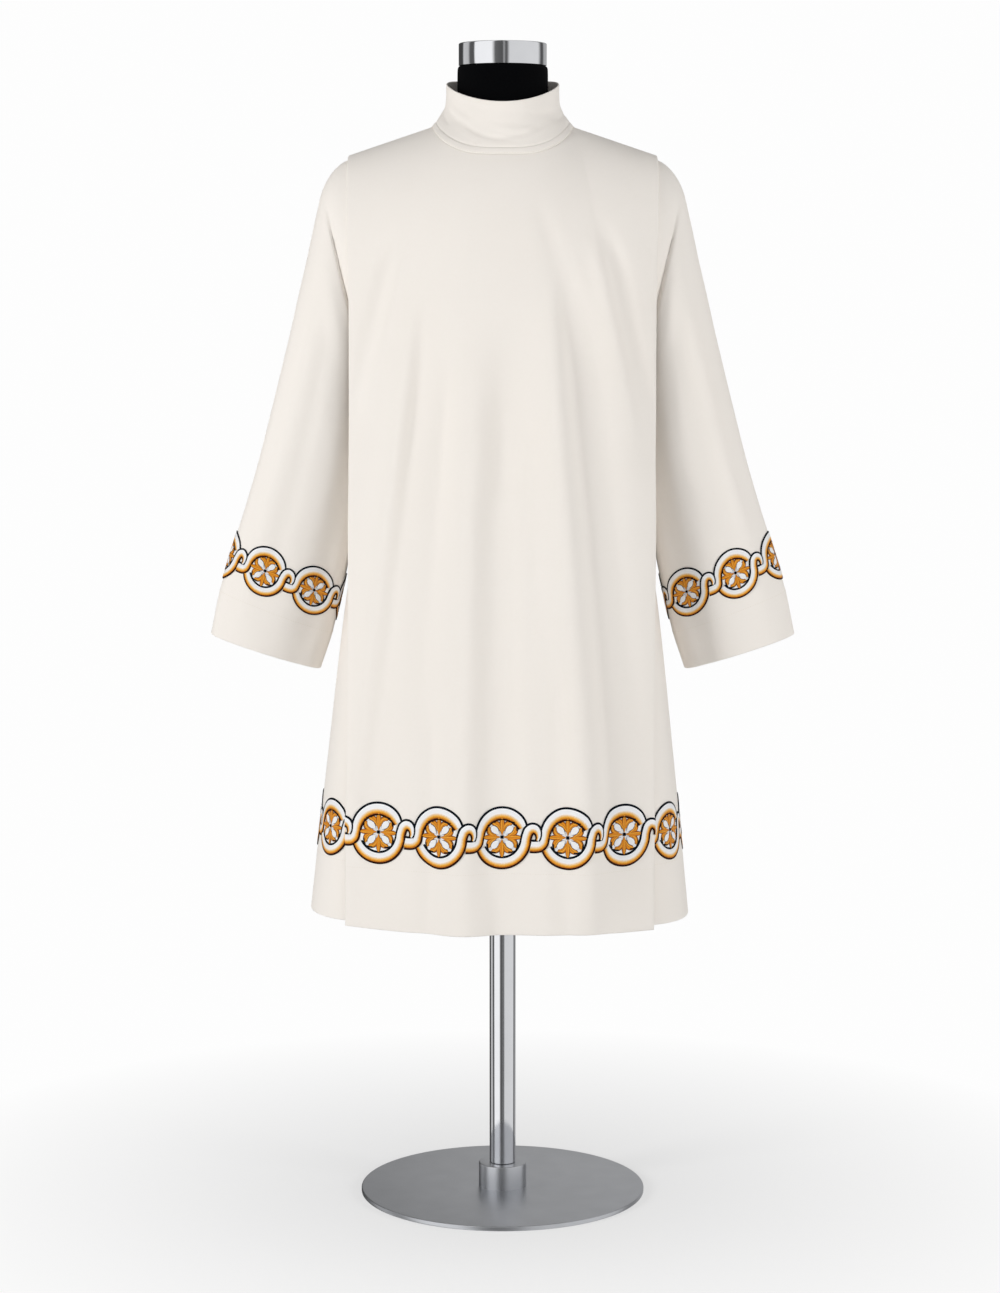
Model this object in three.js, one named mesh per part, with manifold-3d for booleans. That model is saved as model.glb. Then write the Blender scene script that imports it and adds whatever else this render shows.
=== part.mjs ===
// A cream surplice with a standing collar and wide set-in sleeves, hung on a limbless dress form.
// The front and the back are wide panels whose side edges are pressed back as a pleat from the shoulder
// to the hem. A side panel fills each pleat, so the garment widens below the arms. The sleeves start
// under the pleat edges. The cloth is modelled as thin walls that are open at the neck, hem and cuffs.
// Millimetres, +Z up. The front faces -Y, and "left" is the -X side. The origin is on the floor, under
// the middle of the stand.

import * as THREE from "three";
import { mergeVertices } from "three/addons/utils/BufferGeometryUtils.js";
import Module from "manifold-3d";

const wasm = await Module();
wasm.setup();

// Driving sizes
const CLOTH = 1.5; // one layer of cloth
const SEAM_GAP = 0.4; // between two pieces that are sewn together
const HEM_HEIGHT = 385; // the hem above the floor
const HEM_TURNING = 82; // depth of the turned-up hem
const CUFF_TURNING = 62; // depth of the turned-up cuff
const HEM_STEP = 4; // height over which the cloth goes from one layer to two
const CHEST_HEIGHT = 1190; // the cloth is upright from here down
const SHOULDER_TIP = { x: 200, z: 1377 };
const SHOULDER_SLOPE = Math.tan(THREE.MathUtils.degToRad(18.6));
const NECK_HALF_WIDTH = 90; // the neckline where it crosses the shoulder seam
const NECKLINE_DEPTH = { front: 77, back: 64 }; // from the shoulder seam to the middle of the neckline
const NECKLINE_ROUND = 2.7; // outline of the neckline from above: 2 is an ellipse, more is squarer
const SHOULDER_ROUND = { front: 2, back: 2.5 }; // over the shoulder: 2 is an ellipse, more is fuller
const PLEAT_FULLNESS = 2.4; // higher keeps the panels flatter across their middle
const SWING = { aside: 4, drop: 3 }; // the hem hangs a little to the left, and lower on the right
// The neck opening at the centre back: its cut starts behind the middle plane and passes the collar.
const SLIT = { width: 0.8, bottom: 1200, behind: 10, depth: 180, past: 60 };

const NECK_COLUMNS = 7; // from the middle of a panel to the end of its neckline
const SHOULDER_COLUMNS = 4; // from there to the pleat edge
const SHOULDER_ROWS = 7;
const HANGING_ROWS = 8;
const SIDE_COLUMNS = 12;
const SIDE_ROWS = 8;
const ARMHOLE_FRONT = 7; // segments from the top of the armhole to its widest level
const ARMHOLE_UNDER = 6; // segments from there to the armpit
const FORM_COLUMNS = 24;
const TURNED_SEGMENTS = { cap: 32, base: 40, pole: 20 };
const PROBE = 0.01; // a small step along a surface, to measure its direction
const MERGE = 1e-3; // points nearer than this are one point

// Sections of the body by height: how far the panel stands from the middle plane at its centre and at
// its pleat edge, the half width to that edge, the radius of the pressed turn, the width of cloth that
// is turned back, how far the pleat has opened, and the half width of the side panel.
const BODY = [
  { z: 1377, centre: 124, edge: 80, pleat: 200, turn: 1.3, lap: 12, open: 0, side: 166 },
  { z: 1190, centre: 124, edge: 80, pleat: 197, turn: 1.5, lap: 36, open: 0, side: 166 },
  { z: 1000, centre: 136, edge: 91, pleat: 197, turn: 1.8, lap: 36, open: 6, side: 174 },
  { z: 900, centre: 143, edge: 97, pleat: 198, turn: 1.9, lap: 36, open: 10, side: 187 },
  { z: 800, centre: 150, edge: 104, pleat: 198, turn: 2, lap: 36, open: 15, side: 205 },
  { z: 600, centre: 164, edge: 116, pleat: 199, turn: 2.1, lap: 36, open: 25, side: 229 },
  { z: 385, centre: 178, edge: 128, pleat: 200, turn: 2.2, lap: 36, open: 35, side: 252 },
];

// Soft folds that hang from the chest and the shoulder blades. Each runs straight from its top to its
// bottom, widens on the way, and stands out of the panel by rise, or goes into it where rise is negative.
const FRONT_FOLDS = [
  { x0: -104, z0: 1215, x1: -182, z1: 540, w0: 24, w1: 36, rise: 5 },
  { x0: -76, z0: 1215, x1: -142, z1: 540, w0: 22, w1: 34, rise: -5 },
  { x0: -36, z0: 1180, x1: -50, z1: 385, w0: 28, w1: 40, rise: 5 },
  { x0: 8, z0: 1180, x1: 12, z1: 385, w0: 26, w1: 34, rise: -5 },
  { x0: 58, z0: 1240, x1: 118, z1: 500, w0: 24, w1: 34, rise: 5 },
  { x0: 88, z0: 1240, x1: 164, z1: 500, w0: 22, w1: 32, rise: -5 },
];
const BACK_FOLDS = [
  { x0: -122, z0: 1230, x1: -168, z1: 420, w0: 24, w1: 34, rise: 5 },
  { x0: -84, z0: 1230, x1: -114, z1: 385, w0: 24, w1: 34, rise: -5 },
  { x0: -38, z0: 1190, x1: -58, z1: 385, w0: 26, w1: 38, rise: 5 },
  { x0: 4, z0: 1150, x1: 2, z1: 385, w0: 28, w1: 36, rise: -5 },
  { x0: 46, z0: 1200, x1: 64, z1: 385, w0: 26, w1: 38, rise: 5 },
  { x0: 96, z0: 1240, x1: 128, z1: 385, w0: 24, w1: 36, rise: -5 },
];
const ARMHOLE_EASE = 6; // how much wider the side panel's top curve is than the armhole, to each side
const FOLD_EASE = 170; // length over which a fold grows from nothing, and dies away again

// Rings of a sleeve from the armhole to the cuff: its outer point, its inner point, its half depth,
// where along the ring it is deepest, counted from the inner point, and how far its front and back are
// tucked towards the body.
const SLEEVE = [
  { ox: 188, oz: 1375, ix: 169.5, iz: 1126, depth: 87, deepest: 0.25, tuck: 12 },
  { ox: 206.5, oz: 1368.5, ix: 171.5, iz: 1123, depth: 73.5, deepest: 0.28, tuck: 2 },
  { ox: 221.5, oz: 1354.5, ix: 173, iz: 1119, depth: 72, deepest: 0.31, tuck: 0 },
  { ox: 233, oz: 1334, ix: 174.5, iz: 1113, depth: 70.5, deepest: 0.35, tuck: 0 },
  { ox: 240.5, oz: 1306, ix: 176, iz: 1104, depth: 69, deepest: 0.39, tuck: 0 },
  { ox: 247.5, oz: 1275, ix: 177.5, iz: 1090, depth: 67.5, deepest: 0.43, tuck: 0 },
  { ox: 255, oz: 1241, ix: 179.5, iz: 1070, depth: 66, deepest: 0.46, tuck: 0 },
  { ox: 265, oz: 1199, ix: 181.5, iz: 1044, depth: 64, deepest: 0.48, tuck: 0 },
  { ox: 276.5, oz: 1149, ix: 184, iz: 1010, depth: 62, deepest: 0.5, tuck: 0 },
  { ox: 290, oz: 1095, ix: 186.5, iz: 974, depth: 60, deepest: 0.5, tuck: 0 },
  { ox: 304, oz: 1040, ix: 190, iz: 936, depth: 57, deepest: 0.5, tuck: 0 },
  { ox: 319, oz: 983, ix: 194.5, iz: 903, depth: 54, deepest: 0.5, tuck: 0 },
  { ox: 333.5, oz: 926, ix: 200, iz: 866, depth: 51, deepest: 0.5, tuck: 0 },
  { ox: 364, oz: 822, ix: 221.5, iz: 766, depth: 46.5, deepest: 0.5, tuck: 0 },
  { ox: 378, oz: 754.5, ix: 239.5, iz: 709, depth: 44, deepest: 0.5, tuck: 0 },
];

// The deep crease from the sleeve's cap down to the armpit, in front, with the roll of cloth beside it.
// It grows and dies along its line, which goes from 0 at its top to 1 at its bottom.
const CREASE = { x0: 229, z0: 1318, x1: 196, z1: 1176, width: 14, depth: 11, roll: 4, rollAway: 22 };
const CREASE_ENDS = { from: -0.15, grow: 0.4, to: 1.5, die: 0.5 };

// Rings of the collar: share of the way from the neckline to the top edge, and share of the way from
// the neckline's outline to the top edge's outline.
const COLLAR = [
  { up: 0, inwards: 0 },
  { up: 0.14, inwards: 0.33 },
  { up: 0.3, inwards: 0.62 },
  { up: 0.48, inwards: 0.92 },
  { up: 0.74, inwards: 1 },
  { up: 1, inwards: 1 },
];
const COLLAR_CLOTH = 2.4; // two layers
// The top edge lies lower in front by its tilt, and higher at both sides of the neck by its saddle.
const COLLAR_TOP = { halfWidth: 72.5, halfDepth: 65, y: 1, z: 1458.3, tilt: 15.8, saddle: 10.2 };

// The embroidered border: roundels in a chain of links. The sizes are those of a border with a pitch
// of 80, and the links reach from bottom to top beside a roundel.
const BORDER = {
  pitch: 80,
  outer: { x: 30.5, z: 38 },
  inner: { x: 23.5, z: 25.5 },
  link: { bottom: -20, top: 17 },
  bends: [16.6, 23.5, 27.2], // points of the outline, counted from the middle of a roundel
  near: 1.2, // a column of the wall adds no point closer to another than this
  shut: 0.01, // a hole that is lower than this has closed
  end: 0.3, // left free at both ends
  thickness: 1.1,
  lift: 0.7, // clear of the cloth
  margin: 12, // plain cloth above it, up to the next row of the wall
};
const HEM_BORDER = { height: 126, panelRoundels: 5, sideRoundels: 3 };
const CUFF_BORDER = { height: 100, roundels: 6 };

// Sections of the dress form by height: half width, half depth and roundness, where 2 is an ellipse.
const FORM = [
  { z: 715, w: 128, d: 82, round: 2 },
  { z: 722, w: 146, d: 95, round: 2 },
  { z: 740, w: 158, d: 103, round: 2.1 },
  { z: 780, w: 165, d: 108, round: 2.2 },
  { z: 860, w: 158, d: 106, round: 2.2 },
  { z: 950, w: 147, d: 99, round: 2.2 },
  { z: 1050, w: 152, d: 102, round: 2.3 },
  { z: 1126, w: 158, d: 107, round: 2.4 },
  { z: 1190, w: 161, d: 109, round: 2.4 },
  { z: 1250, w: 171, d: 106, round: 2.3 },
  { z: 1300, w: 179, d: 99, round: 2.2 },
  { z: 1340, w: 180, d: 87, round: 2 },
  { z: 1368, w: 177, d: 76, round: 1.8 },
  { z: 1382, w: 168, d: 68, round: 1.7 },
  { z: 1390.2, w: 157, d: 61, round: 1.55 },
  { z: 1395.6, w: 141, d: 56, round: 1.5 },
  { z: 1405.2, w: 112, d: 44, round: 1.5 },
  { z: 1410.5, w: 86, d: 45, round: 1.6 },
  { z: 1420, w: 70, d: 55, round: 1.85 },
  { z: 1436, w: 61.5, d: 56.5, round: 2 },
  { z: 1455, w: 59, d: 58, round: 2 },
  { z: 1486.5, w: 58.5, d: 58.5, round: 2 },
  { z: 1490.5, w: 57.6, d: 57.6, round: 2 },
  { z: 1492, w: 55.5, d: 55.5, round: 2 },
];
const NECK_CAP = { radius: 57, height: 28.6, edge: 3, corner: 0.3 }; // corner is a share of the edge
const POLE_RADIUS = 17.5;
const BASE = { radius: 190, thickness: 6, edge: 1.5, bossRadius: 32, bossHeight: 38 };

// Helpers for tables, curves and soft shapes
const mix = (a, b, t) => a + (b - a) * t;
const clamp01 = (t) => Math.min(1, Math.max(0, t));
const ease = (t) => clamp01(t) ** 2 * (3 - 2 * clamp01(t));
const bell = (t) => Math.exp(-t * t);
const oval = (t) => Math.sqrt(Math.max(0, 1 - t * t));

// A table's column at height z, on a smooth curve through its rows, which run from the top down.
function at(table, z, column) {
  const last = table.length - 1;
  if (z >= table[0].z) return table[0][column];
  if (z <= table[last].z) return table[last][column];
  const k = table.findIndex((row) => row.z <= z) - 1;
  const slope = (i) => {
    const [above, below] = [table[Math.max(0, i - 1)], table[Math.min(last, i + 1)]];
    return (below[column] - above[column]) / (below.z - above.z);
  };
  const [a, b] = [table[k], table[k + 1]];
  const [span, t] = [b.z - a.z, (z - a.z) / (b.z - a.z)];
  const [t2, t3] = [t * t, t * t * t];
  return (
    (2 * t3 - 3 * t2 + 1) * a[column] +
    (t3 - 2 * t2 + t) * span * slope(k) +
    (3 * t2 - 2 * t3) * b[column] +
    (t3 - t2) * span * slope(k + 1)
  );
}

// Cloth walls

// The surface directions of a grid of points that goes down and then across, as unit vectors.
function gridNormals(grid, around) {
  const [rows, columns] = [grid.length, grid[0].length];
  return grid.map((row, j) =>
    row.map((_, i) => {
      const up = grid[Math.max(0, j - 1)][i];
      const down = grid[Math.min(rows - 1, j + 1)][i];
      const before = around ? row[(i + columns - 1) % columns] : row[Math.max(0, i - 1)];
      const after = around ? row[(i + 1) % columns] : row[Math.min(columns - 1, i + 1)];
      const along = new THREE.Vector3().subVectors(down, up);
      return along.cross(new THREE.Vector3().subVectors(after, before)).normalize();
    }),
  );
}

// A closed wall of cloth. The grid lies in the middle of its outer layer, thickness(j, i) is the whole
// wall there, and facing is -1 where the grid's own direction points into the garment.
function clothWall({ grid, around = false, facing = 1, thickness, settle = (p) => p }) {
  const [rows, columns] = [grid.length, grid[0].length];
  const normals = gridNormals(grid, around);
  const place = (j, i, distance) =>
    settle(grid[j][i].clone().addScaledVector(normals[j][i], facing * distance));
  const outer = grid.flatMap((row, j) => row.map((_, i) => place(j, i, CLOTH / 2)));
  const inner = grid.flatMap((row, j) => row.map((_, i) => place(j, i, CLOTH / 2 - thickness(j, i))));
  const faces = [];
  for (let j = 0; j < rows - 1; j++)
    for (let i = 0; i < (around ? columns : columns - 1); i++) {
      const next = (i + 1) % columns;
      const [a, b] = [j * columns + i, (j + 1) * columns + i];
      const [d, c] = [j * columns + next, (j + 1) * columns + next];
      faces.push([a, b, c], [a, c, d]);
    }
  return closedShell(outer, inner, faces);
}

// Joins an outer skin to an inner one with the same faces, and closes the wall along every free edge.
function closedShell(outer, inner, faces) {
  const count = outer.length;
  const directed = new Set(faces.flatMap(([a, b, c]) => [`${a},${b}`, `${b},${c}`, `${c},${a}`]));
  const all = faces.flatMap(([a, b, c]) => [
    [a, b, c],
    [c + count, b + count, a + count],
  ]);
  for (const edge of directed) {
    const [a, b] = edge.split(",").map(Number);
    if (directed.has(`${b},${a}`)) continue;
    all.push([b, a, a + count], [b, a + count, b + count]);
  }
  return solidGeometry([...outer, ...inner], all);
}

// A geometry from points and triangles, turned so that its faces point out.
function solidGeometry(points, faces) {
  const volume = faces.reduce((sum, [a, b, c]) => {
    return sum + points[a].dot(new THREE.Vector3().crossVectors(points[b], points[c]));
  }, 0);
  const turned = volume < 0 ? faces.map(([a, b, c]) => [a, c, b]) : faces;
  const geometry = new THREE.BufferGeometry().setFromPoints(points);
  geometry.setIndex(turned.flat());
  return geometry;
}

// A closed solid through rings that all have the same number of points.
function loft(rings) {
  const columns = rings[0].length;
  const faces = [];
  rings.slice(1).forEach((_, j) => {
    for (let i = 0; i < columns; i++) {
      const next = (i + 1) % columns;
      const [a, b] = [j * columns, (j + 1) * columns];
      faces.push([a + i, a + next, b + next], [a + i, b + next, b + i]);
    }
  });
  const top = (rings.length - 1) * columns;
  for (let i = 1; i < columns - 1; i++) {
    faces.push([0, i + 1, i], [top, top + i, top + i + 1]);
  }
  return solidGeometry(rings.flat(), faces);
}

// A solid of revolution about +Z from a profile of [radius, height] pairs that ends on the axis.
function turned(profile, segments) {
  const points = profile.map(([radius, height]) => new THREE.Vector2(radius, height));
  return new THREE.LatheGeometry(points, segments).rotateX(Math.PI / 2);
}

// Cuts one geometry by another.
function toSolid(geometry) {
  const bare = new THREE.BufferGeometry().setAttribute("position", geometry.getAttribute("position"));
  bare.setIndex(geometry.index);
  const merged = mergeVertices(bare, MERGE);
  const vertProperties = new Float32Array(merged.getAttribute("position").array);
  const triVerts = new Uint32Array(merged.index.array);
  return new wasm.Manifold(new wasm.Mesh({ numProp: 3, vertProperties, triVerts }));
}
function toGeometry(solid) {
  const mesh = solid.getMesh();
  const geometry = new THREE.BufferGeometry();
  geometry.setAttribute("position", new THREE.BufferAttribute(new Float32Array(mesh.vertProperties), 3));
  geometry.setIndex(new THREE.BufferAttribute(new Uint32Array(mesh.triVerts), 1));
  return geometry;
}
const cut = (geometry, tool) => toGeometry(toSolid(geometry).subtract(toSolid(tool)));

// Body panels

// Height of the shoulder line at x, carried on smoothly under the collar towards the middle.
const NECK_SIDE_HEIGHT = SHOULDER_TIP.z + (SHOULDER_TIP.x - NECK_HALF_WIDTH) * SHOULDER_SLOPE;
function shoulderHeight(x) {
  const past = Math.abs(x) - NECK_HALF_WIDTH;
  if (past > 0) return NECK_SIDE_HEIGHT - past * SHOULDER_SLOPE;
  const rise = (SHOULDER_SLOPE * NECK_HALF_WIDTH) / 2;
  return NECK_SIDE_HEIGHT + rise * (1 - (x / NECK_HALF_WIDTH) ** 2);
}

// How far a panel stands from the middle plane at x and z, without folds and below the chest.
function panelDepth(x, z) {
  const across = Math.min(1, Math.abs(x) / at(BODY, z, "pleat"));
  return mix(at(BODY, z, "centre"), at(BODY, z, "edge"), across ** PLEAT_FULLNESS);
}

// How far the folds lift the panel at x and z.
function foldRise(folds, x, z) {
  return folds.reduce((sum, f) => {
    const t = (f.z0 - z) / (f.z0 - f.z1);
    const grow = ease((f.z0 - z) / FOLD_EASE);
    const die = f.z1 > HEM_HEIGHT ? ease((z - f.z1 + FOLD_EASE) / FOLD_EASE) : 1;
    const away = (x - mix(f.x0, f.x1, t)) / mix(f.w0, f.w1, clamp01(t));
    return sum + f.rise * grow * die * bell(away);
  }, 0);
}

// The hem of the body hangs a little aside, and lower on one side.
function swing(p) {
  const t = clamp01((SHOULDER_TIP.z - p.z) / (SHOULDER_TIP.z - HEM_HEIGHT)) ** 2;
  const drop = (SWING.drop * t * p.x) / SHOULDER_TIP.x;
  return p.set(p.x - SWING.aside * t, p.y, p.z - drop);
}

// A panel of the body. Each of its columns has a place on the top edge, a place across the chest, and a
// share of the pressed edge that it has passed.
function bodyPanel(side, folds) {
  const away = side === "front" ? -1 : 1;
  const round = SHOULDER_ROUND[side];

  // A point at one column's top edge and chest places. down goes from 0 at the top edge, over the
  // shoulder to 1 at chest height, and on to 2 at the hem.
  const point = (top, x, down, foldShare) => {
    const across = mix(top, x, ease(down));
    if (down > 1) {
      const z = mix(CHEST_HEIGHT, HEM_HEIGHT, down - 1);
      return new THREE.Vector3(x, away * (panelDepth(x, z) + foldShare * foldRise(folds, x, z)), z);
    }
    const aside = Math.min(1, Math.abs(top) / NECK_HALF_WIDTH);
    const neckline = NECKLINE_DEPTH[side] * (1 - aside ** NECKLINE_ROUND) ** (1 / NECKLINE_ROUND);
    const start = Math.asin((neckline / panelDepth(top, CHEST_HEIGHT)) ** (round / 2));
    const angle = mix(start, Math.PI / 2, down);
    const z = CHEST_HEIGHT + (shoulderHeight(across) - CHEST_HEIGHT) * Math.cos(angle) ** (2 / round);
    const bow = panelDepth(across, CHEST_HEIGHT) * Math.sin(angle) ** (2 / round);
    return new THREE.Vector3(across, away * (bow + foldShare * foldRise(folds, across, z)), z);
  };

  // Past the pressed edge the cloth goes round a tight turn, and then back under the panel, where the
  // pleat opens towards the hem.
  const pleated = (column, down) => {
    const height = point(column.top, column.chest, down, 1).z;
    const flat = Math.sign(column.chest);
    const radius = at(BODY, height, "turn");
    const reach = at(BODY, height, "pleat") - radius;
    const atEdge = Math.abs(column.chest) === 1;
    if (!atEdge) return point(column.top, column.chest * reach, down, 1);
    const x = flat * (reach + radius * Math.sin(column.turn) - at(BODY, height, "lap") * column.lap);
    const sunk = radius * (1 - Math.cos(column.turn)) + at(BODY, height, "open") * column.lap;
    const [onShoulder, nearHem] = [down < 0.1, down > 1.5];
    const share = 1 - column.lap;
    const here = point(x, x, down, share);
    const across = point(x + PROBE, x + PROBE, down, share).sub(here);
    const downwards = point(x, x, down + (nearHem ? -PROBE : PROBE), share).sub(here);
    const inwards = across.cross(downwards).normalize();
    const outwards = inwards.y * away > 0 || (onShoulder && inwards.z > 0);
    return here.addScaledVector(inwards, outwards ? -sunk : sunk);
  };

  const columns = panelColumns();
  const rows = panelRows();
  const grid = rows.map((down) => columns.map((column) => swing(pleated(column, down))));
  const doubledFrom = rows.length - HEM_ROWS;
  const thickness = (j, i) => (j >= doubledFrom && Math.abs(columns[i].chest) < 1 ? 2 * CLOTH : CLOTH);
  const settle = (p) => p.setY(away * Math.max(SEAM_GAP / 2, away * p.y));
  const middle = [PLEAT_COLUMNS, columns.length - 1 - PLEAT_COLUMNS];
  const strip = { row: BORDER_ROW, columns: middle, heights: HEM_STRIP };
  return { grid, facing: -away, thickness, settle, strip };
}

// Rows of a panel: close over the shoulder, one above the border, two where the hem's turning starts,
// and those of the hem.
const HEM_ROWS = 3;
const BORDER_ROW = SHOULDER_ROWS + HANGING_ROWS - 1;
const HEM_STRIP = [HEM_BORDER.height + BORDER.outer.z + BORDER.margin, HEM_TURNING + HEM_STEP];
function panelRows() {
  const rows = [];
  for (let j = 0; j < SHOULDER_ROWS; j++) rows.push(j / SHOULDER_ROWS);
  const aboveHem = (height) => 2 - height / (CHEST_HEIGHT - HEM_HEIGHT);
  const border = aboveHem(HEM_STRIP[0]);
  for (let j = 0; j < HANGING_ROWS; j++) rows.push(mix(1, border, j / (HANGING_ROWS - 1)));
  const hem = [HEM_STRIP[1], HEM_TURNING, HEM_TURNING / 2, 0];
  return [...rows, ...hem.map(aboveHem)];
}

// Columns of a panel: those of the neckline, spaced by angle at the top, those of the shoulder, and the
// pressed edge at both ends.
const PLEAT_COLUMNS = 3;
function panelColumns() {
  const count = NECK_COLUMNS + SHOULDER_COLUMNS;
  const right = [];
  for (let i = 1; i <= count; i++) {
    const angle = (Math.PI / 2) * Math.min(1, i / NECK_COLUMNS);
    const past = Math.max(0, i - NECK_COLUMNS) / SHOULDER_COLUMNS;
    const top = mix(NECK_HALF_WIDTH * Math.sin(angle) ** (2 / NECKLINE_ROUND), SHOULDER_TIP.x, past);
    right.push({ top, chest: i / count, turn: 0, lap: 0 });
  }
  right.push({ top: SHOULDER_TIP.x, chest: 1, turn: Math.PI / 2, lap: 0 });
  right.push({ top: SHOULDER_TIP.x, chest: 1, turn: Math.PI, lap: 0 });
  right.push({ top: SHOULDER_TIP.x, chest: 1, turn: Math.PI, lap: 1 });
  const left = right.map((c) => ({ ...c, top: -c.top, chest: -c.chest })).reverse();
  return [...left, { top: 0, chest: 0, turn: 0, lap: 0 }, ...right];
}

// Side panels

// A point of the right-hand side panel, from the end of the front pleat at across 0 to the end of the
// back pleat at 1.
function sidePoint(across, z) {
  const low = Math.min(z, CHEST_HEIGHT);
  const turn = at(BODY, low, "turn");
  const x = at(BODY, low, "pleat") - turn - at(BODY, low, "lap") + 1;
  const depth = panelDepth(x, low) - 2 * turn - at(BODY, low, "open") - CLOTH - 3 * SEAM_GAP;
  const angle = Math.PI * across;
  const bulge = at(BODY, low, "side") - x;
  return new THREE.Vector3(x + bulge * Math.sin(angle), -depth * Math.cos(angle), z);
}

// The side panel's top edge follows the underside of the armhole.
function sideTop(across) {
  const y = sidePoint(across, CHEST_HEIGHT).y;
  const armhole = SLEEVE[0];
  const under = CHEST_HEIGHT - armhole.iz;
  const width = armhole.depth + ARMHOLE_EASE;
  return CHEST_HEIGHT - under * oval(Math.min(1, Math.abs(y) / width)) - CLOTH - 3 * SEAM_GAP;
}

function sidePanel(hand) {
  const rows = [];
  for (let j = 0; j < SIDE_ROWS; j++) rows.push({ share: j / (SIDE_ROWS - 1), above: HEM_STRIP[0] });
  const hem = [HEM_STRIP[1], HEM_TURNING, 0];
  hem.forEach((above) => rows.push({ share: 1, above }));
  const grid = rows.map(({ share, above }) => {
    const points = [];
    for (let i = 0; i <= SIDE_COLUMNS; i++) {
      const across = i / SIDE_COLUMNS;
      points.push(sidePoint(across, mix(sideTop(across), HEM_HEIGHT + above, share)));
    }
    return points.map((p) => swing(p.setX(hand * p.x)));
  });
  const doubled = (j, i) => j >= rows.length - 2 && i > 1 && i < SIDE_COLUMNS - 1;
  const thickness = (j, i) => (doubled(j, i) ? 2 * CLOTH : CLOTH);
  const strip = { row: SIDE_ROWS - 1, columns: [0, SIDE_COLUMNS], heights: HEM_STRIP };
  return { grid, facing: hand, thickness, strip };
}

// Sleeves

// Angles round a ring: closer where the armhole passes under the shoulder.
function sleeveAngles() {
  const quarter = [];
  for (let i = 0; i < ARMHOLE_FRONT; i++) quarter.push((90 * i) / ARMHOLE_FRONT);
  for (let i = 0; i < ARMHOLE_UNDER; i++) quarter.push(90 + (90 * i) / ARMHOLE_UNDER);
  const back = [180, ...quarter.slice(1).map((a) => 360 - a).reverse()];
  return [...quarter, ...back].map(THREE.MathUtils.degToRad);
}

// How far the crease pulls the front of the sleeve back at x and z.
function creaseDepth(x, z) {
  const along = new THREE.Vector2(CREASE.x1 - CREASE.x0, CREASE.z1 - CREASE.z0);
  const from = new THREE.Vector2(x - CREASE.x0, z - CREASE.z0);
  const t = from.dot(along) / along.lengthSq();
  const aside = from.cross(along) / along.length();
  const { from: start, grow, to: end, die } = CREASE_ENDS;
  const window = ease((t - start) / grow) * ease((end - t) / die);
  const trough = CREASE.depth * bell(aside / CREASE.width);
  const roll = CREASE.roll * bell((aside + CREASE.rollAway) / CREASE.width);
  return window * (trough - roll);
}

// A point of the right-hand sleeve at a ring and an angle, where 0 is its outer edge and 90 its front.
function sleevePoint(ring, angle) {
  const c = Math.cos(angle);
  const s = Math.sin(angle);
  const along = ring.deepest + (c > 0 ? (1 - ring.deepest) * c : ring.deepest * c);
  const x = mix(ring.ix, ring.ox, along);
  const z = mix(ring.iz, ring.oz, along);
  const crease = s > 0 ? creaseDepth(x, z) * s : 0;
  return new THREE.Vector3(x - ring.tuck * Math.abs(s), crease - ring.depth * s, z);
}

function sleeve(hand) {
  const angles = sleeveAngles();
  const cuff = SLEEVE[SLEEVE.length - 1];
  const last = SLEEVE[SLEEVE.length - 2];
  const reach = Math.hypot(cuff.ox - last.ox, cuff.oz - last.oz);
  const between = (share) =>
    Object.fromEntries(Object.keys(cuff).map((key) => [key, mix(last[key], cuff[key], share)]));
  const turning = [CUFF_TURNING + HEM_STEP, CUFF_TURNING].map((height) => between(1 - height / reach));
  const rings = [...SLEEVE.slice(0, -2), ...turning, cuff];
  const grid = rings.map((ring) =>
    angles.map((angle) => {
      const p = sleevePoint(ring, angle);
      return p.setX(hand * p.x);
    }),
  );
  const thickness = (j) => (j >= rings.length - 2 ? 2 * CLOTH : CLOTH);
  const above = SLEEVE[SLEEVE.length - 3];
  const heights = [Math.hypot(cuff.ox - above.ox, cuff.oz - above.oz), CUFF_TURNING + HEM_STEP];
  const strip = { row: rings.length - 4, columns: [0, angles.length], heights };
  return { grid, around: true, facing: hand, thickness, strip };
}

// Collar

function collar(panels) {
  const besideNeck = PLEAT_COLUMNS + SHOULDER_COLUMNS;
  const topRow = ({ grid }) => grid[0].slice(besideNeck, -besideNeck);
  const [front, back] = [topRow(panels.front), topRow(panels.back)];
  const neckline = [...front, ...back.slice(1, -1).reverse()];
  const grid = COLLAR.map(({ up, inwards }) =>
    neckline.map((base, i) => {
      const angle = Math.PI + (2 * Math.PI * i) / neckline.length;
      const topX = COLLAR_TOP.halfWidth * Math.cos(angle);
      const topY = COLLAR_TOP.y + COLLAR_TOP.halfDepth * Math.sin(angle);
      const saddle = COLLAR_TOP.saddle * Math.cos(angle) ** 2;
      const topZ = COLLAR_TOP.z + COLLAR_TOP.tilt * Math.sin(angle) + saddle;
      const lowZ = base.z + CLOTH / 2 + 2 * SEAM_GAP;
      const [x, y] = [mix(base.x, topX, inwards), mix(base.y, topY, inwards)];
      return new THREE.Vector3(x, y, mix(lowZ, topZ, up));
    }),
  );
  return { grid, around: true, facing: 1, thickness: () => COLLAR_CLOTH };
}

// The neck opening is a slit down the centre back of the collar and the back panel.
function slitTool() {
  const height = COLLAR_TOP.z + SLIT.past - SLIT.bottom;
  const box = new THREE.BoxGeometry(SLIT.width, SLIT.depth, height);
  return box.translate(0, SLIT.behind + SLIT.depth / 2, SLIT.bottom + height / 2);
}

// Embroidered borders

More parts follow.
